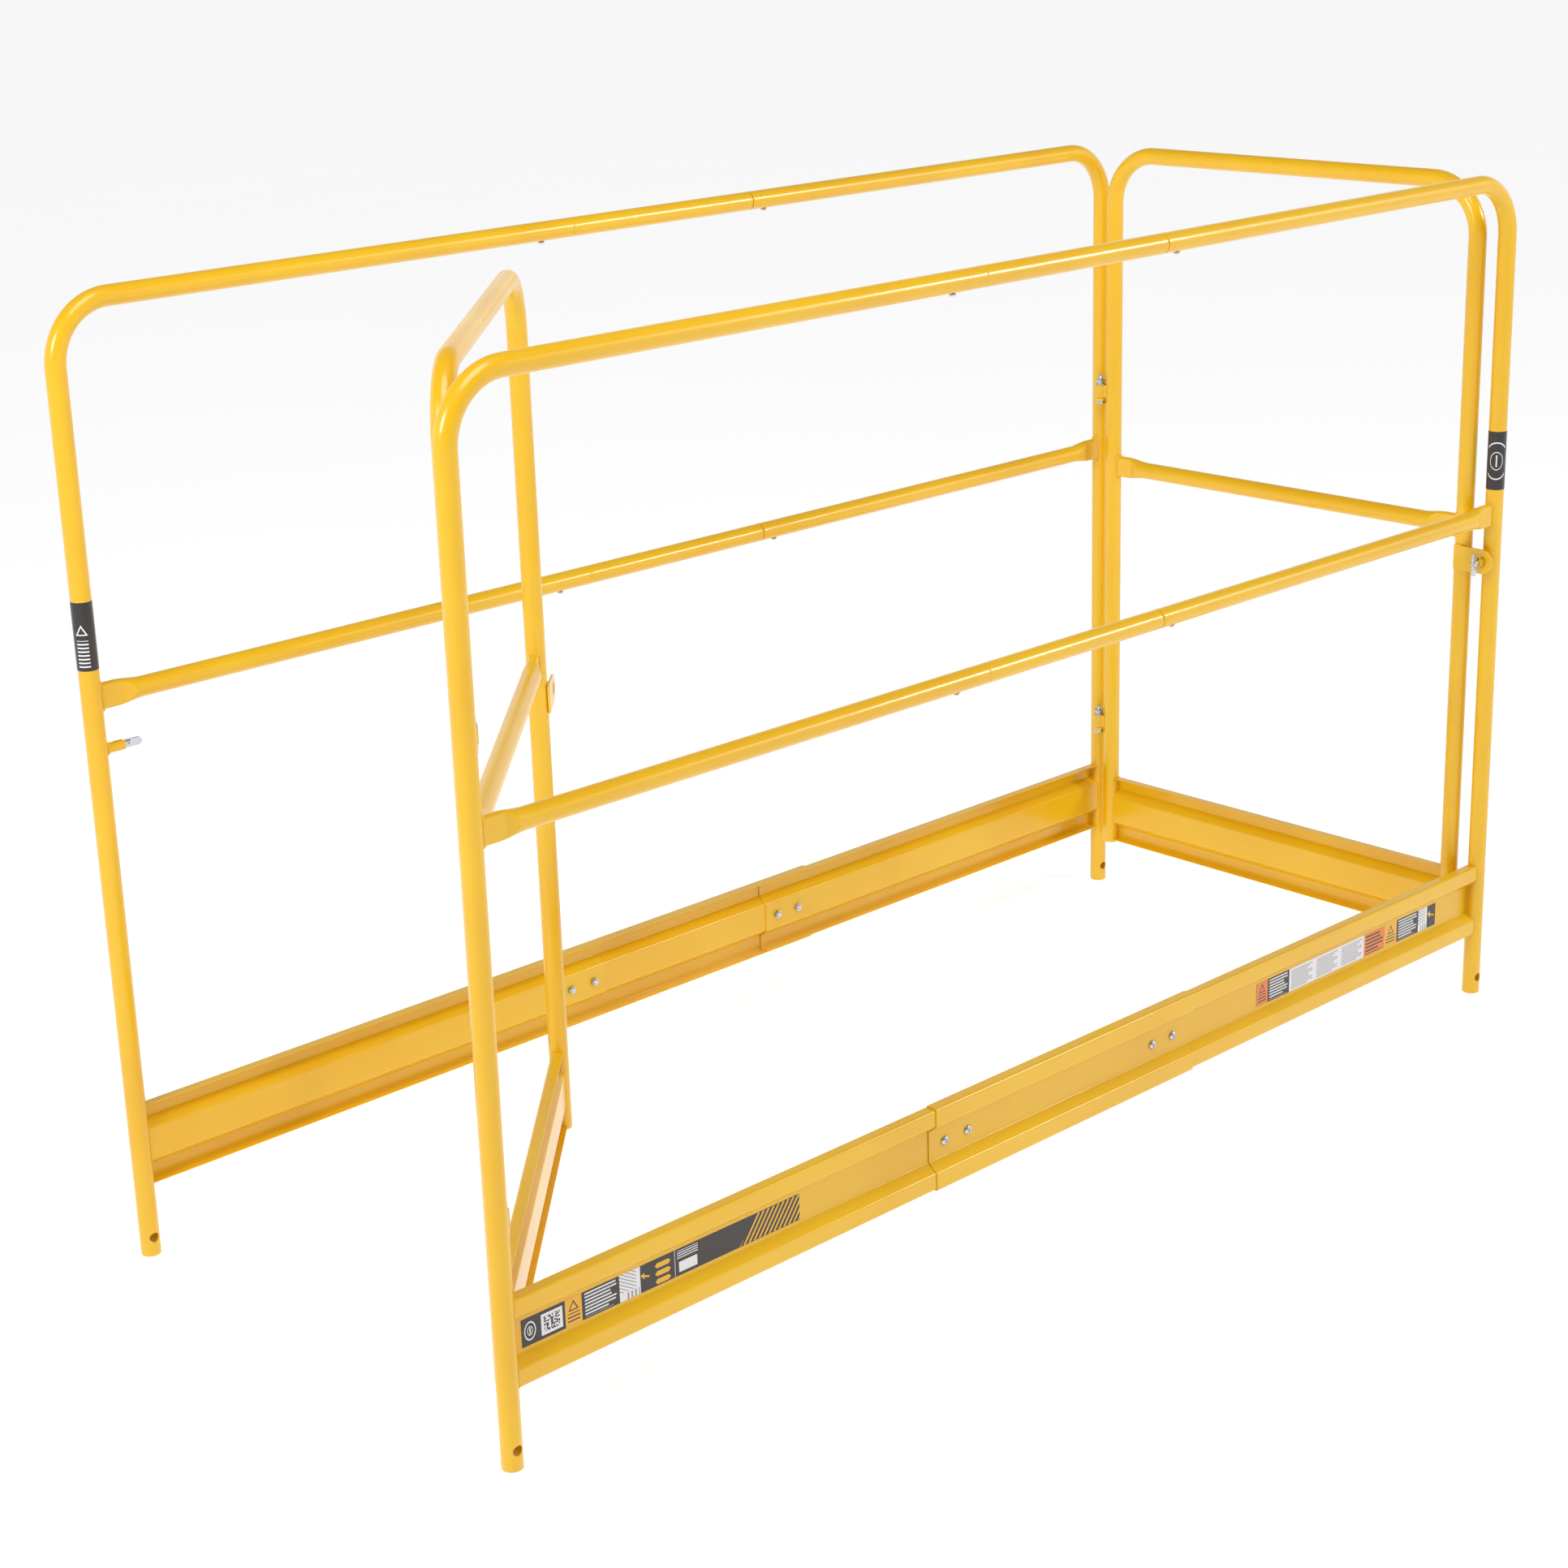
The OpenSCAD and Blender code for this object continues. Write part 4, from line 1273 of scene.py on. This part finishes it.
@dataclass
class EndGate(EndPart):
    """A swinging end gate: a bent hoop, a mid rail, a toe board, two hinge sleeves and the latch plate."""

    opened: float = 0.0
    hinge: tuple[float, float] = (903.0, 349.5)
    n: float = 10.0
    leg: float = 19.0
    free: float = 678.0
    stud: float = 718.0
    foot: float = 80.0
    top: float = 1206.0
    mid: float = 716.0
    toe_z: float = 84.0
    hinges: tuple[float, float] = (272.0, 820.0)
    lug: float = 5.0
    sleeve: float = 8.5
    sleeve_bore: float = 4.08
    sleeve_h: float = 20.0
    lock_z: float = 672.0
    plate: float = 18.0
    plate_hole: float = 7.4
    toe: ToeSection = field(default_factory=ToeSection)

    @property
    def body(self) -> str:
        """The body that the gate's pieces ride on."""
        return f"{self.name}_gate"

    def place(self) -> Place:
        turn = math.radians(180 - self.opened if self.half is Half.LEFT else 0)
        c, s = math.cos(turn), math.sin(turn)
        x, y = (v * self.half.value for v in self.hinge)
        return Place((s, -c, 0.0), (c, s, 0.0), (x, y, 0.0))

    def build(self) -> None:
        """Builds the gate's pieces."""
        self.hoop()
        self.mid_rail()
        self.toe_board()
        self.sleeves()
        self.latch_plate()
        self.welds()

    def hoop(self) -> None:
        """The bent hoop: up the hinge leg, along the top and down the free leg."""
        shell = Shell()
        route = Route(((self.leg, self.n, self.foot), (self.leg, self.n, self.top), (self.free, self.n, self.top),
                       (self.free, self.n, self.foot)), KIT.bend)
        (a0, a1), (b0, b1) = route.bends()
        s = stations((KIT.cut, a0, 12), (a0, a1, 28), (a1, b0, 8), (b0, b1, 28), (b1, route.length - KIT.cut, 12))
        points, ways, depth = route.at(s)
        shell.grid(carry(points, ways, ACROSS, KIT.bent(depth)))
        for place, sign in ((0.0, 1.0), (route.length, -1.0)):
            end, way, _ = route.at(np.array([place]))
            shell.end(end[0], way[0] * sign, ACROSS, KIT.tube, KIT.bore, 2 * KIT.plug)
        self.piece(shell, "gate_hoop", "bent")

    def mid_rail(self) -> None:
        """The mid rail, pressed flat and coped at both legs."""
        shell = Shell()
        size = self.free - self.leg - 2 * (KIT.tube + KIT.gap)
        d = stations((0, KIT.press, 67), (KIT.press, size - KIT.press, 8), (size - KIT.press, size, 67))
        near = np.minimum(d, size - d)
        start = self.leg + KIT.tube + KIT.gap
        points = np.stack([start + d, 0 * d + self.n, 0 * d + self.mid], 1)
        grid = carry(points, np.tile([1.0, 0, 0], (len(d), 1)), ACROSS, KIT.pressed(near, RING))
        cope = KIT.tube + KIT.gap - KIT.surface(grid[..., 1] - self.n)
        grid[..., 0] += cope * (np.clip(1 - (size - d) / KIT.cope, 0, 1) - np.clip(1 - d / KIT.cope, 0, 1))[:, None]
        shell.solid(grid, wear=KIT.rubbed(near))
        self.piece(shell, "gate_mid_rail", "pressed")

    def toe_board(self) -> None:
        """The toe board between the legs."""
        shell = Shell()
        self.toe.sheet(shell, self.toe_z, -self.toe.thick / 2, 0, 0, (self.leg, self.free))
        shell.points = [p + np.array([0, self.n, 0]) for p in shell.points]
        self.piece(shell, "gate_toe_board", "pressed")

    def sleeves(self) -> None:
        """The hinge sleeves, each with its weld tab that reaches to the leg."""
        shell = Shell()
        far = math.hypot(self.leg, self.n)
        way = np.array([self.leg, self.n, 0]) / far
        for z in self.hinges:
            low, b, r, bore = z + self.lug + 0.3, 0.6, self.sleeve, self.sleeve_bore
            profile = [(0, bore + b), (0, r - b), (b, r), (self.sleeve_h - b, r), (self.sleeve_h, r - b),
                       (self.sleeve_h, bore + b), (self.sleeve_h - b, bore), (b, bore)]
            shell.grid(revolve(profile, (0, 0, low), (0, 0, 1), (1, 0, 0), 56), rows=True,
                       wear=np.array([0.6, 0.9, 0.7, 0.7, 0.9, 0.6, 0.2, 0.2])[:, None])
            side = np.array([-way[1], way[0], 0])
            v = np.linspace(-6.2, 6.2, 13)[:, None]
            near = way * np.sqrt(r ** 2 - v ** 2) * 0.96 + side * v
            touch = way * (far - np.sqrt((KIT.tube + 0.1) ** 2 - v ** 2)) + side * v
            outline = np.vstack([near, touch[::-1]])
            rows = np.stack([outline + np.array([0, 0, low + h]) for h in (0.5, 6, 13, self.sleeve_h - 0.5)])
            half = len(near)
            shell.grid(rows)
            for row in (rows[0], rows[-1]):
                shell.grid(np.stack([row[:half], row[half:][::-1]]), columns=False)
        self.piece(shell, "hinge_sleeves", "turned")

    def latch_plate(self) -> None:
        """The latch plate: straight from the free leg, and round about the hole for the lock's stud."""
        shell = Shell()
        t = around(120)
        arm = self.stud - self.free + KIT.tube / 2
        c, s = np.cos(t), np.abs(np.sin(t)) + 1e-9
        reach = np.where(c > 0, self.plate, np.minimum(self.plate / s, arm / np.maximum(-c, 1e-9)))
        face = self.n - KIT.tube - 0.1
        rows = plate_rows(3.0, 0.35, self.plate_hole, reach, (self.stud, face, self.lock_z), (1, 0, 0), (0, 0, 1))
        shell.grid(rows, rows=True, wear=np.array([0.8, 0.35, 0.5, 0.5, 0.35, 0.8, 0.95, 0.95])[:, None])
        self.piece(shell, "latch_plate", "cut")

    def welds(self) -> None:
        """Beads round the mid rail's ends, down the toe board, beside the sleeves and along the latch plate."""
        shell = Shell()
        post_beads(shell, self.toe, (self.leg, self.free), self.n, self.mid, self.toe_z)
        far = math.hypot(self.leg, self.n)
        way = np.array([self.leg, self.n]) / far
        side = np.array([-way[1], way[0]])
        a, b = self.sleeve + 1.0, KIT.tube + 1.0
        x = (a * a - b * b + far * far) / (2 * far)
        off = math.sqrt(max(a * a - x * x, 0))
        for z in self.hinges:
            for sign in (1, -1):
                spot = way * x + sign * off * side
                heights = np.linspace(z + self.lug + 1.2, z + self.lug + self.sleeve_h - 0.8, 12)
                line = np.stack([0 * heights + spot[0], 0 * heights + spot[1], heights], -1)
                shell.solid(bead(line, (*(spot + sign * side * 9), z), radius=2.1, closed=False))
        face = self.n - KIT.tube - 1.2
        for sign in (1, -1):
            u = np.linspace(self.free - 5, self.free + 7, 14)
            z = self.lock_z + sign * (self.plate + 0.2)
            line = np.stack([u, 0 * u + face, 0 * u + z], -1)
            shell.solid(bead(line, (self.free, face, self.lock_z + sign * 60), radius=1.7, closed=False))
        shell.make(f"{self.name}_gate_welds", self.place(), WELD, body=self.body)


@dataclass
class GateHinges(EndPart):
    """What carries a gate on its post: two welded lugs, each with a bolt, a washer and a nut."""

    axis: tuple[float, float] = (22.0, 19.0)
    heights: tuple[float, float] = (272.0, 820.0)
    lug_t: float = 5.0
    lug_r: float = 7.5
    sleeve_h: float = 20.0
    bolt_r: float = 4.0
    nut_w: float = 13.0
    nut_h: float = 7.0
    head_h: float = 5.0
    washer_r: float = 8.2
    washer_t: float = 1.6

    def place(self) -> Place:
        s = float(self.half.value)
        return Place((-s, 0.0, 0.0), (0.0, -s, 0.0), (s * KIT.half_l, s * KIT.half_w, 0.0))

    def build(self) -> None:
        """Builds the hinge's pieces."""
        lugs, bolts, washers, nuts, welds = Shell(), Shell(), Shell(), Shell(), Shell()
        far = math.hypot(*self.axis)
        way = np.array([-self.axis[0], -self.axis[1], 0.0]) / far
        side = np.cross((0, 0, 1), way)
        t = around(120)
        c, s = np.cos(t), np.abs(np.sin(t)) + 1e-9
        post = far * c - np.sqrt(np.maximum((KIT.tube + 0.1) ** 2 - (far * s) ** 2, 0))
        reach = np.where(c < 0, self.lug_r, np.minimum(self.lug_r / s, np.where(far * s < KIT.tube, post, 1e9)))
        for z in self.heights:
            centre = np.array([*self.axis, z])
            rows = plate_rows(self.lug_t, 0.4, self.bolt_r + 0.2, reach, centre, way, side)
            lugs.grid(rows, rows=True, wear=np.array([0.2, 0.3, 0.6, 0.6, 0.4, 0.7, 0.3, 0.3])[:, None])
            washer_z = self.lug_t + 0.6 + self.sleeve_h
            Fasteners.hex_body(bolts, centre, (0, 0, -1), (0.8, 0.6, 0), self.nut_w, self.head_h, 0.0)
            bolts.solid(revolve([(0, self.bolt_r), (washer_z, self.bolt_r)], centre, (0, 0, 1), (1, 0, 0), 36))
            Fasteners.thread(bolts, centre + (0, 0, washer_z), (0, 0, 1), (1, 0, 0), self.bolt_r,
                             self.washer_t + self.nut_h + 6.0, 1.25)
            Fasteners.washer(washers, centre + (0, 0, washer_z), (0, 0, 1), (1, 0, 0), self.washer_r,
                             self.bolt_r + 0.2, self.washer_t)
            Fasteners.hex_body(nuts, centre + (0, 0, washer_z + self.washer_t), (0, 0, 1), (0.96, 0.28, 0), self.nut_w,
                               self.nut_h, self.bolt_r + 0.1)
            a = np.linspace(-0.62, 0.62, 30)[:, None]
            for edge in (0.4, self.lug_t - 0.4):
                foot = (KIT.tube + 0.5) * (side * np.sin(a) - way * np.cos(a)) + np.array([0, 0, z + edge])
                welds.solid(bead(foot, (*(-way[:2] * 40), z + edge), radius=1.7, closed=False))
        parts = ((lugs, "lugs", PAINT), (bolts, "bolts", ZINC), (washers, "washers", ZINC), (nuts, "nuts", ZINC))
        for shell, kind, finish in parts:
            self.piece(shell, f"hinge_{kind}", "made", finish)
        welds.make(f"{self.name}_hinge_welds", self.place(), WELD, body="side_panels")


@dataclass
class GateLock(EndPart):
    """A gate's lock: a slotted stud on the post, the pin in it, a rivet, and the tab that flips over the plate."""

    z: float = 672.0
    stud_r: float = 6.5
    stud_end: float = 36.5
    slot_l: float = 13.0
    slot: float = 1.8
    pin_r: float = 4.75
    rivet_a: float = 43.5
    seat: float = 3.8
    rivet_r: float = 2.0
    head_r: float = 3.25
    head_h: float = 1.2
    tab_t: float = 3.0
    tab_w: float = 5.0
    tab_short: float = 14.0
    tab_long: float = 18.0

    def place(self) -> Place:
        s = float(self.half.value)
        return Place((-s, 0.0, 0.0), (0.0, s, 0.0), (s * KIT.half_l, -s * KIT.half_w, 0.0))

    def slotted(self, shell: Shell, radius: float, stop: float, flats: float, round_tip: bool) -> None:
        """A bar along the first axis, from the post to a stop, whose outer part is slotted.

        The root is a full circle. Each cheek is the part of the circle beyond the slot, cut at flats, and a round
        tip shrinks its height as the square root of 1 - (distance past the rivet / radius)^2.

        Args:
            shell: where the surfaces go.
            radius: the bar's radius.
            stop: where it ends.
            flats: distance from the middle to the flats on its sides.
            round_tip: whether its tip is round about the rivet.
        """
        root = self.stud_end - self.slot_l
        t = around(40)
        circle = np.stack([radius * np.cos(t), radius * np.sin(t)], -1)
        depth = KIT.surface(circle[:, 0], 0.0)
        rows = [np.stack([depth, circle[:, 0], self.z + circle[:, 1]], -1)]
        rows += [np.stack([np.full(40, a), circle[:, 0], self.z + circle[:, 1]], -1) for a in (15.0, root)]
        shell.solid(np.stack(rows))
        limit = math.acos(self.slot / radius)
        b = np.linspace(-limit, limit, 25)
        y, z = np.minimum(radius * np.cos(b), flats), radius * np.sin(b)
        chord = np.linspace(z[-1], z[0], 9)[1:-1]
        y, z = np.concatenate([y, np.full(7, self.slot)]), np.concatenate([z, chord])
        a = np.concatenate([[root - 0.2], np.linspace(root + 4, stop - 0.6, 8), [stop - 0.2, stop]])
        shrink, inset = np.ones(len(a)), np.concatenate([np.zeros(len(a) - 2), [0.25, 0.6]])
        if round_tip:
            turn = np.concatenate([np.zeros(6), np.linspace(0.1, 0.96, 10) * np.pi / 2])
            a = np.concatenate([np.linspace(root - 0.2, self.rivet_a, 6), self.rivet_a + radius * np.sin(turn[6:])])
            shrink = np.cos(turn)
            inset = np.zeros(len(a))
        for side in (1, -1):
            mid_y = (self.slot + min(radius, flats)) / 2
            grid = np.stack([np.stack([np.full(len(y), a[i]), side * (mid_y + (y - mid_y) * (1 - inset[i] / mid_y)),
                                       self.z + z * shrink[i] * (1 - inset[i] / radius)], -1) for i in range(len(a))])
            shell.solid(grid, wear=0.35)

    def build(self) -> None:
        """Builds the lock's pieces."""
        stud, pin, rivet, tab, weld = Shell(), Shell(), Shell(), Shell(), Shell()
        self.slotted(stud, self.stud_r, self.stud_end, self.stud_r, False)
        self.piece(stud, "lock_stud", "slotted", PAINT)
        self.slotted(pin, self.pin_r, self.rivet_a + self.pin_r, self.seat, True)
        self.piece(pin, "lock_pin", "slotted", ZINC)
        half = [(self.seat, self.rivet_r), (self.seat, self.head_r - 0.2), (self.seat + 0.25, self.head_r),
                (self.seat + 0.8, self.head_r * 0.8), (self.seat + self.head_h, self.head_r * 0.35)]
        profile = [(-h, r) for h, r in reversed(half)] + half
        rivet.solid(revolve(profile, (self.rivet_a, 0, self.z), ACROSS, (1, 0, 0), 32), wear=0.5)
        self.piece(rivet, "lock_rivet", "headed", ZINC)
        self.tab_plate(tab)
        self.piece(tab, "flip_tab", "cut", ZINC)
        ring = around(80)
        c, s = self.stud_r * np.cos(ring), self.stud_r * np.sin(ring)
        line = np.stack([KIT.surface(c, 0.0) + 0.7, c * 1.06, self.z + s * 1.06], -1)
        weld.grid(bead(line, (13, 0, self.z), radius=1.6, closed=True), rows=True)
        weld.make(f"{self.name}_lock_weld", self.place(), WELD, body="side_panels")

    def tab_plate(self, shell: Shell) -> None:
        """The tab about its rivet: square at its short end and round at its long one.

        Along a way at angle t, the side is width / sin, the square end short / cos, and the round end is where the
        way leaves a circle of the tab's half width set back from its tip. The left tab is stored swung up.
        """
        t = around(120)
        c, s = np.cos(t), np.abs(np.sin(t)) + 1e-9
        square = np.minimum(self.tab_w / s, self.tab_short / np.maximum(c, 1e-9))
        back = self.tab_long - self.tab_w
        inside = np.maximum(self.tab_w ** 2 - (back * s) ** 2, 0)
        tip = np.where(back * s < self.tab_w, -back * c + np.sqrt(inside), 0)
        rounded = np.where(-c * self.tab_w / s > back, tip, self.tab_w / s)
        reach = np.where(c > 0, square, rounded)
        up = (-1.0, 0.0, 0.0) if self.half is Half.LEFT else (0.0, 0.0, 1.0)
        along = np.array(up)
        other = np.cross((0, -1, 0), along)
        rows = plate_rows(self.tab_t, 0.3, self.rivet_r + 0.08, reach,
                          np.array([self.rivet_a, 0, self.z]) - np.cross(along, other) * self.tab_t / 2, along, other)
        shell.grid(rows, rows=True, wear=np.array([0.5, 0.3, 0.6, 0.6, 0.3, 0.5, 0.2, 0.2])[:, None])


@dataclass
class Labels:
    """The printed films: two strips on the front toe board, and a wrap round each of two posts."""

    foot: float = 133.0
    high: float = 34.0
    thick: float = 0.3
    left: float = -897.0
    right: float = 403.0
    wrap_foot: float = 775.0
    wrap_high: float = 84.0

    def build(self) -> None:
        """Builds the labels."""
        k, w, y, o = Ink.BLACK, Ink.WHITE, Ink.YELLOW, Ink.ORANGE
        left = (Block(24, k, w, Motif.HAND), Block(38, k, w, Motif.TILE), Block(24, y, k, Motif.TRIANGLE),
                Block(55, k, w, Motif.LINES), Block(31, w, Ink.GREY, Motif.PICTURE), Block(16, k, y, Motif.ARROW),
                Block(36, k, y, Motif.PILLS), Block(40, k, w, Motif.FRAMED), Block(58, k),
                Block(100, k, y, Motif.STRIPES))
        right = (Block(25, o, k, Motif.TRIANGLE), Block(49, k, w, Motif.LINES),
                 *[Block(176 / 3, w, Ink.GREY, Motif.SMALL_PRINT)] * 3,
                 Block(50, o, k, Motif.SHORT_LINES), Block(30, y, k, Motif.TRIANGLE), Block(54, k, w, Motif.LINES),
                 Block(22, w, Ink.GREY, Motif.PICTURE), Block(21, k, y, Motif.ARROW))
        self.strip("front_left_toe_label", self.left, left)
        self.strip("front_right_toe_label", self.right, right)
        self.wrap("back_left_post_label", -1, 1, (Block(31, k), Block(20, k, w, Motif.TRIANGLE), Block(31, k)), 30.9)
        self.wrap("front_right_post_label", 1, -1, (Block(26, k), Block(26, k, w, Motif.HAND), Block(30, k)), 31.5)

    def strip(self, node: str, start: float, blocks: tuple[Block, ...]) -> None:
        """A strip on the front toe board's web, with eased edges."""
        shell = Shell()
        length = sum(b.width for b in blocks)
        face, b = KIT.half_w - 6.0, 0.1
        y0, y1, z0, z1 = -face, -face - self.thick, self.foot, self.foot + self.high
        ring = np.array([(y0, z0), (y1 + b, z0), (y1, z0 + b), (y1, z1 - b), (y1 + b, z1), (y0, z1)])
        x = start + np.array([0, b, length * 0.25, length * 0.5, length * 0.75, length - b, length])
        shell.solid(np.stack([np.column_stack([np.full(6, v), ring]) for v in x]))
        finish = LabelFilm(name=f"{node}_film", blocks=blocks, start=start, foot=self.foot, high=self.high)
        shell.make(f"{node}_printed", Place((1, 0, 0), (0, 1, 0), (0, 0, 0)), finish, [node])

    def wrap(self, node: str, x: int, y: int, blocks: tuple[Block, ...], start: float) -> None:
        """A film wrapped once round a post."""
        shell = Shell()
        r0, r1, b = KIT.tube + 0.05, KIT.tube + 0.05 + self.thick, 0.1
        post = (x * KIT.half_l, y * KIT.half_w, self.wrap_foot)
        h = self.wrap_high
        profile = [(0, r0), (0, r1 - b), (b, r1), (h - b, r1), (h, r1 - b), (h, r0)]
        shell.grid(revolve(profile, post, (0, 0, 1), (1, 0, 0)), rows=True)
        finish = LabelFilm(name=f"{node}_film", blocks=blocks, start=start, foot=self.wrap_foot, high=h, post=post[:2])
        shell.make(f"{node}_printed", Place((1, 0, 0), (0, 1, 0), (0, 0, 0)), finish, [node])


# ---- Studio ----

@dataclass
class Studio:
    """A pale floor, soft light and the camera."""

    eye: Triple = (-2.6086, -2.6366, 1.7147)
    forward: Triple = (0.6487, 0.6927, -0.3153)
    right: Triple = (0.7230, -0.6902, -0.0289)
    lens: float = 66.8
    backdrop: float = 1.03
    ceiling: float = 0.22
    near_side: float = 0.32

    def build(self) -> None:
        """Builds the floor, the light and the camera."""
        self.floor()
        self.light()
        self.camera()
        bpy.context.scene.view_settings.view_transform = "Standard"

    def floor(self) -> None:
        """A wide flat disc, as rings that grow outwards."""
        t = around(RING)[None]
        r = np.array([0.0, 1, 3, 8, 20, 60])[:, None]
        points = np.stack([r * np.cos(t), r * np.sin(t), 0 * r * t - 0.0004], -1).reshape(-1, 3)
        mesh = bpy.data.meshes.new("floor")
        mesh.from_pydata(points.tolist(), [], quads(r.size, RING).tolist())
        mesh.materials.append(StudioFloor().material())
        floor = bpy.data.objects.new("floor", mesh)
        bpy.context.scene.collection.objects.link(floor)

    def light(self) -> None:
        """A white backdrop that fades towards a dim ceiling and a dim near side, and three soft lamps.

        The sky's brightness at a direction is backdrop, eased to near_side as the direction turns towards the
        camera, then eased to ceiling as it rises. Seen directly it is backdrop everywhere.
        """
        world = bpy.data.worlds.new("studio")
        world.use_nodes = True
        sky = Tree(world.node_tree)
        x, y, z = (Value(sky, part) for part in sky.node(
            "ShaderNodeSeparateXYZ", {}, {0: sky.node("ShaderNodeTexCoord", {}, {})["Generated"]}))
        side = self.backdrop + (x + y).step(0.2, -1.0) * (self.near_side - self.backdrop)
        light = side + z.step(0.12, 0.6) * (self.ceiling - side)
        seen = Value(sky, sky.node("ShaderNodeLightPath", {}, {})["Is Camera Ray"])
        background = sky.tree.nodes["Background"]
        sky.feed(background.inputs["Strength"], light + seen * (self.backdrop - light))
        sky.feed(background.inputs["Color"], (1, 1, 1, 1))
        bpy.context.scene.world = world
        for name, spot, size, power in (("key", (-4.4, -0.4, 2.7), 1.6, 90.0), ("fill", (3.4, -3.2, 2.7), 1.0, 60.0),
                                        ("top", (-1.0, -1.5, 4.2), 2.4, 70.0)):
            lamp = bpy.data.lights.new(name, "AREA")
            lamp.shape, lamp.size, lamp.energy = "DISK", size, power
            holder = bpy.data.objects.new(name, lamp)
            holder.location = spot
            holder.rotation_mode = "QUATERNION"
            holder.rotation_quaternion = (Vector((0, 0, 0.6)) - Vector(spot)).to_track_quat("-Z", "Y")
            bpy.context.scene.collection.objects.link(holder)

    def camera(self) -> None:
        """The camera, from its place and its two directions."""
        lens = bpy.data.cameras.new("camera")
        lens.lens, lens.sensor_width = self.lens, 36.0
        lens.clip_end = 200.0
        holder = bpy.data.objects.new("camera", lens)
        ahead, right = Vector(self.forward).normalized(), Vector(self.right).normalized()
        up = right.cross(ahead).normalized()
        right = ahead.cross(up)
        holder.matrix_world = Matrix.Translation(self.eye) @ Matrix((right, up, -ahead)).transposed().to_4x4()
        bpy.context.scene.collection.objects.link(holder)
        bpy.context.scene.camera = holder


def main() -> None:
    logging.basicConfig(level=logging.INFO, format="%(name)s: %(message)s", stream=sys.stdout)
    for side in Side:
        SidePanel(side).build()
    for half in Half:
        EndGate(half, opened=45.0 if half is Half.LEFT else 0.0).build()
        GateHinges(half).build()
        GateLock(half).build()
    Labels().build()
    Studio().build()


if __name__ == "__main__":
    main()
